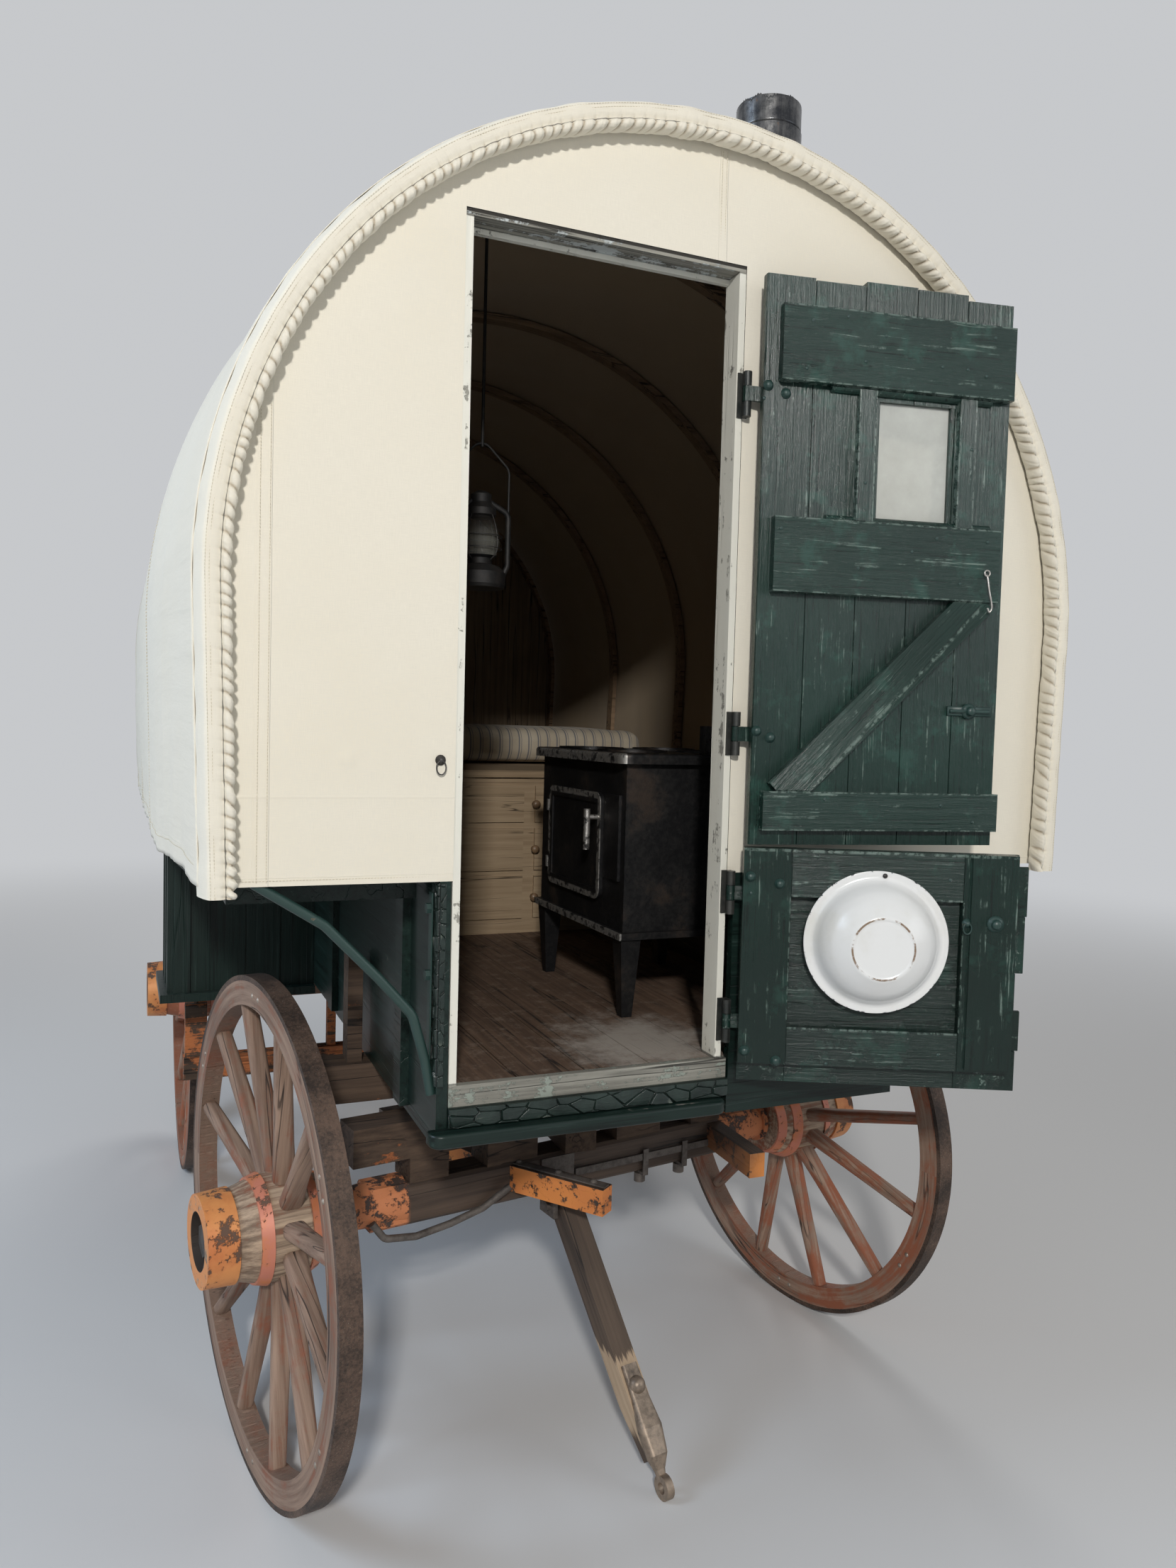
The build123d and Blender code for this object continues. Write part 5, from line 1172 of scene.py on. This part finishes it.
# painted highlights on the high, curled edges of the plates
highlit_edges = lift.between(0.78, 1.0) * crazed_tone.between(0.42, 0.56)
crazed_coat = f.blend(highlit_edges, crazed_coat, (0.15, 0.17, 0.14))
f.set(Base_Color=crazed_coat, Roughness=0.30)
f.relief(grain_on, 0.0012)
crust_rows = (
    # name, corner, direction along and out, length and height, points each way, plate, depth, seed
    ("trim_paint", (-0.507, FRONT_Y - 0.0038, 0.9215), (1, 0, 0), (0, -1, 0),
     (0.607, 0.037), (900, 56), (0.052, 0.024), 0.0110, 41),
    ("corner_paint", (-0.5300, FRONT_Y + 0.0002, 1.002), (1, 0, 0), (0, -1, 0),
     (0.0130, 0.389), (20, 560), (0.013, 0.026), 0.0080, 42),
    ("corner_side_paint", (-0.5298, FRONT_Y + 0.0460, 1.002), (0, -1, 0), (-1, 0, 0),
     (0.0460, 0.389), (66, 560), (0.015, 0.026), 0.0075, 43),
)
for name, corner, run, out, (length, tall), (along, up), plate, deep, seed in crust_rows:
    # the border of each sheet lies on the board
    u, v = np.meshgrid(np.linspace(0, length, along), np.linspace(0, tall, up), indexing="ij")
    border = np.minimum(np.minimum(u, length - u), np.minimum(v, tall - v))
    height = crazed(u, v, *plate, seed) * deep * np.clip(border / 0.0012, 0, 1) - 0.0004
    places = np.asarray(corner) + u[..., None] * run + v[..., None] * (0, 0, 1) + height[..., None] * out
    mesh = woven(name, places, grid(u, v), turned=True)
    mesh.attributes.new("lift", "FLOAT", "POINT").data.foreach_set("value", (height / deep).ravel())
    put(name, mesh, f, "root")

# Corner irons: a flat strap with three nuts stands on the left side of the box, by its front corner.
# They are painted over with the green of the box.
strap = bar(eased(0.022, 0.003, 0.0008), 0.36)
nut_section = tuple((0.0105 * math.cos(a), 0.0105 * math.sin(a)) for a in np.arange(6) * math.pi / 3)
NUT = bar(nut_section, 0.009)
stamped("corner_irons", [
    (strap, [(-0.5385, FRONT_Y + 0.030, 1.010)], facing((0, 0, 1), (1, 0, 0))),
    (NUT, [(-0.5395, FRONT_Y + 0.030, z) for z in (1.340, 1.212, 1.036)], facing((-1, 0, 0))),
], green_iron, "root", smooth=False)

# Felloes are pinned at each joint with a pair of rivets, clenched over washers on both faces. Their
# heads are rubbed bright.
RIVET = lathe(((0, -1), (5.8, -1), (6, 0.4), (4, 0.8), (3.4, 2), (0, 2.6)), 12)
RIM_HALF_DEPTH = 0.0275
FELLOE_FACE = 0.0225
RIVET_FROM_JOINT = 0.022
rivet_iron = iron("rivet_iron", (0.46, 0.40, 0.34), (0.16, 0.12, 0.09), rough=0.45, metal=0.6)
for wheel, centre, turn, spokes, rim_inner, *_ in wheel_rows:
    rim_middle = rim_inner + RIM_HALF_DEPTH
    joint = 4 * math.pi * np.arange(spokes // 2) / spokes
    at = (joint[:, None] + np.array((-1, 1)) * RIVET_FROM_JOINT / rim_middle).ravel()
    on_rim = grid(0, -np.sin(at) * rim_middle, np.cos(at) * rim_middle)
    wheel_turn = np.array(Matrix.Rotation(-turn, 3, "Z"))
    forms = []
    for side in (-1, 1):
        places = np.array(centre) + (on_rim + (side * FELLOE_FACE, 0, 0)) @ wheel_turn.T
        forms.append((RIVET, places, wheel_turn @ facing((side, 0, 0))))
    stamped("rivets_" + wheel, forms, rivet_iron, wheel + "_wheel")


# Hound irons: a flat wear strap along the top of the left hound, with its three bolts. Two bolts on
# the hound's side keep their orange paint.
def on_gear(u, v, z):
    """A point of the front gear, given before it is steered."""
    turned = Matrix.Rotation(STEER, 3, "Z") @ Vector((u, v, 0))
    return np.array(KING + turned + Vector((0, 0, z)))


strap_start, strap_end = on_gear(-0.196, -0.002, 0.6015), on_gear(-0.058, -0.2690, 0.6015)
strap_run = strap_end - strap_start
hound_strap = bar(eased(0.024, 0.004, 0.001), float(np.linalg.norm(strap_run)))
hound_bolts = [strap_start + strap_run * share + (0, 0, 0.0015) for share in (0.16, 0.55, 0.88)]
hound_side = np.cross(strap_run / np.linalg.norm(strap_run), (0, 0, 1))
side_bolts = [strap_start + strap_run * share - hound_side * 0.0218 - (0, 0, 0.034) for share in (0.30, 0.78)]
stamped("hound_irons", [
    (hound_strap, [strap_start], facing(strap_run)),
    (BOLT, hound_bolts, facing((0, 0, 1), (0, 1, 0))),
], grey_iron, "front_gear", smooth=False)
orange_bolts = iron("orange_bolts", (0.20, 0.12, 0.08), (0.05, 0.035, 0.028), (0.56, 0.20, 0.08), 0.56)
side_frame = facing(-hound_side)
stamped("hound_side_bolts", [(BOLT, side_bolts, side_frame)], orange_bolts, "front_gear")

# Mattress: a flat tick of striped cotton, stuffed with wool and tied through in rows of tufts. Its
# form is swollen by the pressure of its fill and pressed in at each tuft.
MATTRESS_LOW, MATTRESS_HIGH = (np.array(c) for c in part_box("mattress"))
mattress_middle = (MATTRESS_LOW + MATTRESS_HIGH) / 2
MERGE = 0.0002
shaper = bmesh.new()
shaper.from_mesh(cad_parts["mattress"].data)
bmesh.ops.remove_doubles(shaper, verts=shaper.verts, dist=MERGE)
tick_mesh = bpy.data.meshes.new("tick")
shaper.to_mesh(tick_mesh)
shaper.free()
VOXEL = 0.020
SWELL = 0.010
SWELL_FRAMES = 20


def points_of(mesh):
    out = np.empty(len(mesh.vertices) * 3)
    mesh.vertices.foreach_get("co", out)
    return out.reshape(-1, 3)


inner_half = (MATTRESS_HIGH - MATTRESS_LOW) / 2
shrunk = mattress_middle + (points_of(tick_mesh) - mattress_middle) * (inner_half - SWELL) / inner_half
tick_mesh.vertices.foreach_set("co", shrunk.ravel())
tick = bpy.data.objects.new("tick", tick_mesh)
bpy.context.scene.collection.objects.link(tick)
remesh = tick.modifiers.new("even", "REMESH")
remesh.mode = "VOXEL"
remesh.voxel_size = VOXEL


def applied(piece):
    """The mesh that a piece's modifiers give, in their place."""
    graph = bpy.context.evaluated_depsgraph_get()
    made = bpy.data.meshes.new_from_object(piece.evaluated_get(graph))
    piece.modifiers.clear()
    piece.data = made
    return made


tick_mesh = applied(tick)
rest = points_of(tick_mesh)
puff = tick.modifiers.new("puff", "CLOTH")
puff.settings.use_pressure = True
puff.settings.uniform_pressure_force = 4.0
puff.settings.effector_weights.gravity = 0.0
bpy.context.scene.frame_start = 1
bpy.context.scene.frame_end = SWELL_FRAMES
for moment in range(1, SWELL_FRAMES + 1):
    bpy.context.scene.frame_set(moment)
filled = points_of(applied(tick))
bpy.context.scene.frame_set(1)
moved = filled - rest
far = np.maximum(np.linalg.norm(moved, axis=1, keepdims=True), 1e-9)
filled = rest + moved * np.minimum(1, SWELL / far)
TUFT_PITCH = 0.245
TUFT_DEPTH = 0.020
TUFT_WIDTH = 0.040
tuft_y = mattress_middle[1] + np.arange(-2, 3) * TUFT_PITCH
tufts = [(x, y) for x in np.arange(-3, 4) * TUFT_PITCH for y in tuft_y]
pressed = np.zeros(len(filled))
for x, y in tufts:
    pressed += TUFT_DEPTH * np.exp(-np.hypot(filled[:, 0] - x, filled[:, 1] - y) / TUFT_WIDTH)
on_top = np.clip((filled[:, 2] - mattress_middle[2]) / 0.05, 0, 1)
filled[:, 2] = np.clip(filled[:, 2] - pressed * on_top, MATTRESS_LOW[2], None)
tick.data.vertices.foreach_set("co", filled.ravel())
tick.data.update()
tick.data.shade_smooth()
f = Finish("ticking")
tick_x = f.part(f.place, 0)
STRIPES = 26.0
stripe = f.maths("FRACT", tick_x * STRIPES)
narrow = f.maths("FRACT", tick_x * STRIPES + 0.30)
striped = within(stripe, 0.2, 0.34, 0.02).most(within(narrow, 0.78, 0.84, 0.015))
worn_tick = f.noise(f.place, 6.0, 5.0, 0.6)
tick_weave = f.noise(f.place, 700.0, 2.0, 0.6)
tick_cloth = f.blend(worn_tick.between(0.3, 0.7), (0.52, 0.46, 0.36), (0.42, 0.36, 0.27))
tick_cloth = f.blend(striped * 0.75, tick_cloth, (0.075, 0.095, 0.14))
f.set(Base_Color=tick_cloth, Roughness=0.9, Sheen_Weight=0.1)
f.relief(tick_weave * 0.5 + worn_tick * 0.5, 0.0008)
tick.data.materials.clear()
tick.data.materials.append(f.material)
tick.name = "wool_mattress"
finer_tick = tick.modifiers.new("finer", "SUBSURF")
finer_tick.levels = 1
finer_tick.render_levels = 1
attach(tick, "root")
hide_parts("mattress")
TUFT = lathe(((0, -3), (8, -3), (10, 0), (7, 4), (0, 5)), 10)
tuft_at = []
for x, y in tufts:
    near = np.hypot(filled[:, 0] - x, filled[:, 1] - y) + 10 * (on_top < 0.5)
    tuft_at.append((x, y, filled[int(np.argmin(near)), 2] + 0.002))
f = Finish("tuft_wool")
tuft_fluff = f.noise(f.place, 400.0, 4.0, 0.7)
f.set(Base_Color=f.blend(tuft_fluff, (0.30, 0.26, 0.2), (0.62, 0.57, 0.47)), Roughness=0.95)
stamped("mattress_tufts", [(TUFT, tuft_at, np.eye(3))], f, "root")

# Stove: blackened cast iron, with a glossy worn top and the oven door's frame and handle rubbed to
# bright metal.
f = Finish("stove_iron")
stove_x, stove_y, stove_z = f.parts(f.place)
casting = f.noise(f.place, 90.0, 8.0, 0.7)
ash = f.noise(f.place, 7.0, 6.0, 0.65)
black = f.blend((casting * 0.5 + ash * 0.5).between(0.4, 0.7), (0.006, 0.006, 0.007), (0.026, 0.025, 0.024))
black = f.blend(ash.between(0.56, 0.72), black, (0.050, 0.036, 0.028))
frame_out = 1 - stove_x.between(0.0045, 0.0060)
oven = within(stove_z, 1.2795, 1.5155, 0.002) * within(stove_y, FRONT_Y + 0.4945, FRONT_Y + 0.8155, 0.002)
frame_rim = frame_out * (1 - oven)
bright = frame_rim.most(1 - stove_x.between(-0.0125, -0.0115))
bright = bright * f.noise(f.place, 40.0, 6.0, 0.7).between(0.40, 0.56)
on_plate = stove_z.between(1.628, 1.631)
f.set(Base_Color=f.blend(bright, black, (0.50, 0.48, 0.45)), Metallic=bright * 0.4 + 0.45)
f.set(Roughness=0.44 - bright * 0.12 - on_plate * 0.20 + casting * 0.1)
f.relief(casting, 0.0009).on("stove")

# Hurricane lantern: black tin, with a glass globe inside a wire guard. It hangs from the second bow,
# and its globe is smoked darker towards the top.
LANTERN = np.array((-0.255, 0.682 + FRONT_Y, 2.030))
f = Finish("lantern_tin")
local = f.stretched((1, 1, 0), centre=tuple(LANTERN))
lantern_r = f.node("ShaderNodeVectorMath", {"operation": "LENGTH"}, {0: local}, out=1)
lantern_z = f.part(f.place, 2)
globe = (1 - lantern_r.between(0.0515, 0.0525)) * within(lantern_z, 2.111, 2.2055, 0.0008)
soot = f.noise(f.place, 30.0, 6.0, 0.7)
tin = f.blend(soot.between(0.4, 0.7), (0.004, 0.004, 0.004), (0.018, 0.015, 0.013))
smoked = f.blend(lantern_z.between(2.14, 2.20), (0.24, 0.24, 0.21), (0.05, 0.045, 0.04))
f.set(Base_Color=f.blend(globe, tin, smoked), Roughness=0.62 - globe * 0.54, Alpha=1 - globe * 0.70)
f.relief(soot, 0.0005).on("lantern")
GUARD_R = 0.0535
guard_rows = []
for ring_z in (2.128, 2.158):
    ring = loop_of(LANTERN * (1, 1, 0) + (0, 0, ring_z), (GUARD_R, 0, 0), (0, GUARD_R, 0), 16)
    guard_rows.append((wire(ring, 0.0014, closed=True), *AS_PLACED))
for share in np.arange(4) / 4 * 2 * math.pi + 0.6:
    beside = np.array((math.cos(share), math.sin(share), 0))
    upright_line = [LANTERN * (1, 1, 0) + beside * r + (0, 0, z) for r, z in (
        (0.033, 2.100), (0.050, 2.116), (GUARD_R, 2.143), (0.048, 2.178), (0.036, 2.211))]
    guard_rows.append((wire(upright_line, 0.0014), *AS_PLACED))
stamped("lantern_guard", guard_rows, dark_iron, "root")

# Stovepipe: rolled sheet steel with a folded seam. Its crimped end is torn at the top, and the
# ragged edge stands up.
PIPE_R = 0.0768
STUB_R = 0.0744
STUB_FOOT = 3.057
STUB_TOP = 3.1145
STUB_STEPS = 241
f = Finish("pipe_steel")
scale_noise = f.noise(f.place, 26.0, 8.0, 0.72)
streaks = f.noise(f.stretched((60.0, 60.0, 4.0)), 1.0, 5.0, 0.6)
sheet_tone = (scale_noise * 0.5 + streaks * 0.5).between(0.38, 0.62)
blued = f.blend(sheet_tone, (0.035, 0.037, 0.042), (0.16, 0.158, 0.155))
blued = f.blend(scale_noise.between(0.60, 0.68), blued, (0.15, 0.075, 0.040))
f.set(Base_Color=blued, Roughness=scale_noise * 0.30 + 0.14, Metallic=0.75)
f.relief(streaks * 0.6 + scale_noise * 0.4, 0.0012).on("stovepipe")
around = np.linspace(0, 2 * math.pi, STUB_STEPS)[:, None]
up_share = np.linspace(0, 1, 12)[None, :]
torn = STUB_TOP + 0.006 * ripple(around * 0.3, 51, 0.05, 0.4) + 0.003 * ripple(around * 0.3, 52, 0.01, 0.04)
torn = torn + (torn[0] - torn[-1]) * np.linspace(0, 1, STUB_STEPS)[:, None]
stub_r = STUB_R + 0.0006 * ripple(np.sin(around) + up_share, 53, 0.5, 1.5) * up_share
stub = grid(PIPE_AT[0] + stub_r * np.cos(around), PIPE_AT[1] + stub_r * np.sin(around),
            STUB_FOOT + (torn - STUB_FOOT) * up_share)
stump = put("pipe_stump", woven("pipe_stump", stub, grid(around * 0.0766, up_share)), f, "root")
stump_wall = stump.modifiers.new("sheet", "SOLIDIFY")
stump_wall.thickness = 0.0008
stump_wall.offset = 1.0
seam_at = math.radians(-128)
seam_out = np.array((math.cos(seam_at), math.sin(seam_at)))
seam_x, seam_y = PIPE_AT + PIPE_R * seam_out
stamped("pipe_seam", [(bar(eased(0.009, 0.003, 0.001), 1.24), [(seam_x, seam_y, 1.80)],
                       facing((0, 0, 1), (*seam_out, 0)))],
        f, "root", smooth=False)

# A tin plate keeps the hot pipe off the cloth. It is dished to the roof of the first bay, turned up
# round the pipe and nailed to the canvas.
flash_turn = np.linspace(0, 2 * math.pi, 121)[:, None]
flash_out = np.linspace(0, 1, 14)[None, :]
flash_r = PIPE_R + 0.060 * flash_out
flash_x = PIPE_AT[0] + flash_r * np.cos(flash_turn)
flash_y = PIPE_AT[1] + flash_r * np.sin(flash_turn)
flash_back = flash_y - FRONT_Y
flash_bay = np.interp(flash_back, BOW_MIDDLES, np.arange(len(BOW_MIDDLES)))
flash_roof = np.interp(flash_back, back[:, 0], cover_r.ravel()) - BAY_SAG * np.sin(math.pi * flash_bay) ** 2
flash_z = HOOP_Z + np.sqrt(flash_roof ** 2 - flash_x ** 2) + 0.0045 + 0.016 * np.exp(-flash_out / 0.10)
tin_plate = iron("tin_plate", (0.34, 0.32, 0.30), (0.12, 0.10, 0.085), rough=0.45, metal=0.8)
flash_mesh = woven("pipe_flashing", grid(flash_x, flash_y, flash_z), grid(flash_turn * 0.1, flash_out))
flashing = put("pipe_flashing", flash_mesh, tin_plate, "root")
flash_sheet = flashing.modifiers.new("sheet", "SOLIDIFY")
flash_sheet.thickness = 0.0010
nailed = grid(flash_x, flash_y, flash_z + 0.0006)[:-1:10, -2]
stamped("flashing_nails", [(NAIL, nailed, facing((0.28, 0, 0.96)))], dark_iron, "root")

# Drawer knobs: turned wood, let into the drawer fronts of the bunk. They are browner than the fronts
# and polished by hands.
DRAWER_KNOB = lathe(((0, -1), (10, -1), (8, 4), (9, 10), (14, 16), (13, 22), (0, 25)), 18)
knob_at = [(x, 1.450 + FRONT_Y - 0.0005, z) for x in (-0.470, -0.140, 0.190) for z in (1.120, 1.280, 1.430)]
f = Finish("knob_wood")
knob_grain = f.noise(f.stretched((60.0, 12.0, 60.0)), 1.0, 4.0, 0.6)
f.set(Base_Color=f.blend(knob_grain, (0.10, 0.06, 0.035), (0.28, 0.18, 0.10)), Roughness=0.4)
f.relief(knob_grain, 0.0005)
stamped("drawer_knobs", [(DRAWER_KNOB, knob_at, facing((0, -1, 0)))], f, "root")

# Hinges: iron butts on the right jamb, with their pins. Their paint is worn through to dark iron,
# smooth from use.
iron("hinge_iron", (0.05, 0.05, 0.045), (0.014, 0.018, 0.017), rough=0.4).on("door_hinges")

# Window glass: thin old panes, beaded into the upper leaf and the back wall. They are dusty and have
# a faint ripple.
f = Finish("old_glass")
dusty = f.noise(f.place, 9.0, 5.0, 0.6)
pane_wave = f.noise(f.place, 12.0, 2.0, 0.5)
f.set(Base_Color=f.blend(dusty, (0.66, 0.68, 0.64), (0.80, 0.82, 0.78)), Roughness=dusty * 0.14 + 0.04)
f.set(Alpha=dusty * 0.35 + 0.25)
f.relief(pane_wave, 0.0008).on("back_glass", "door_glass")
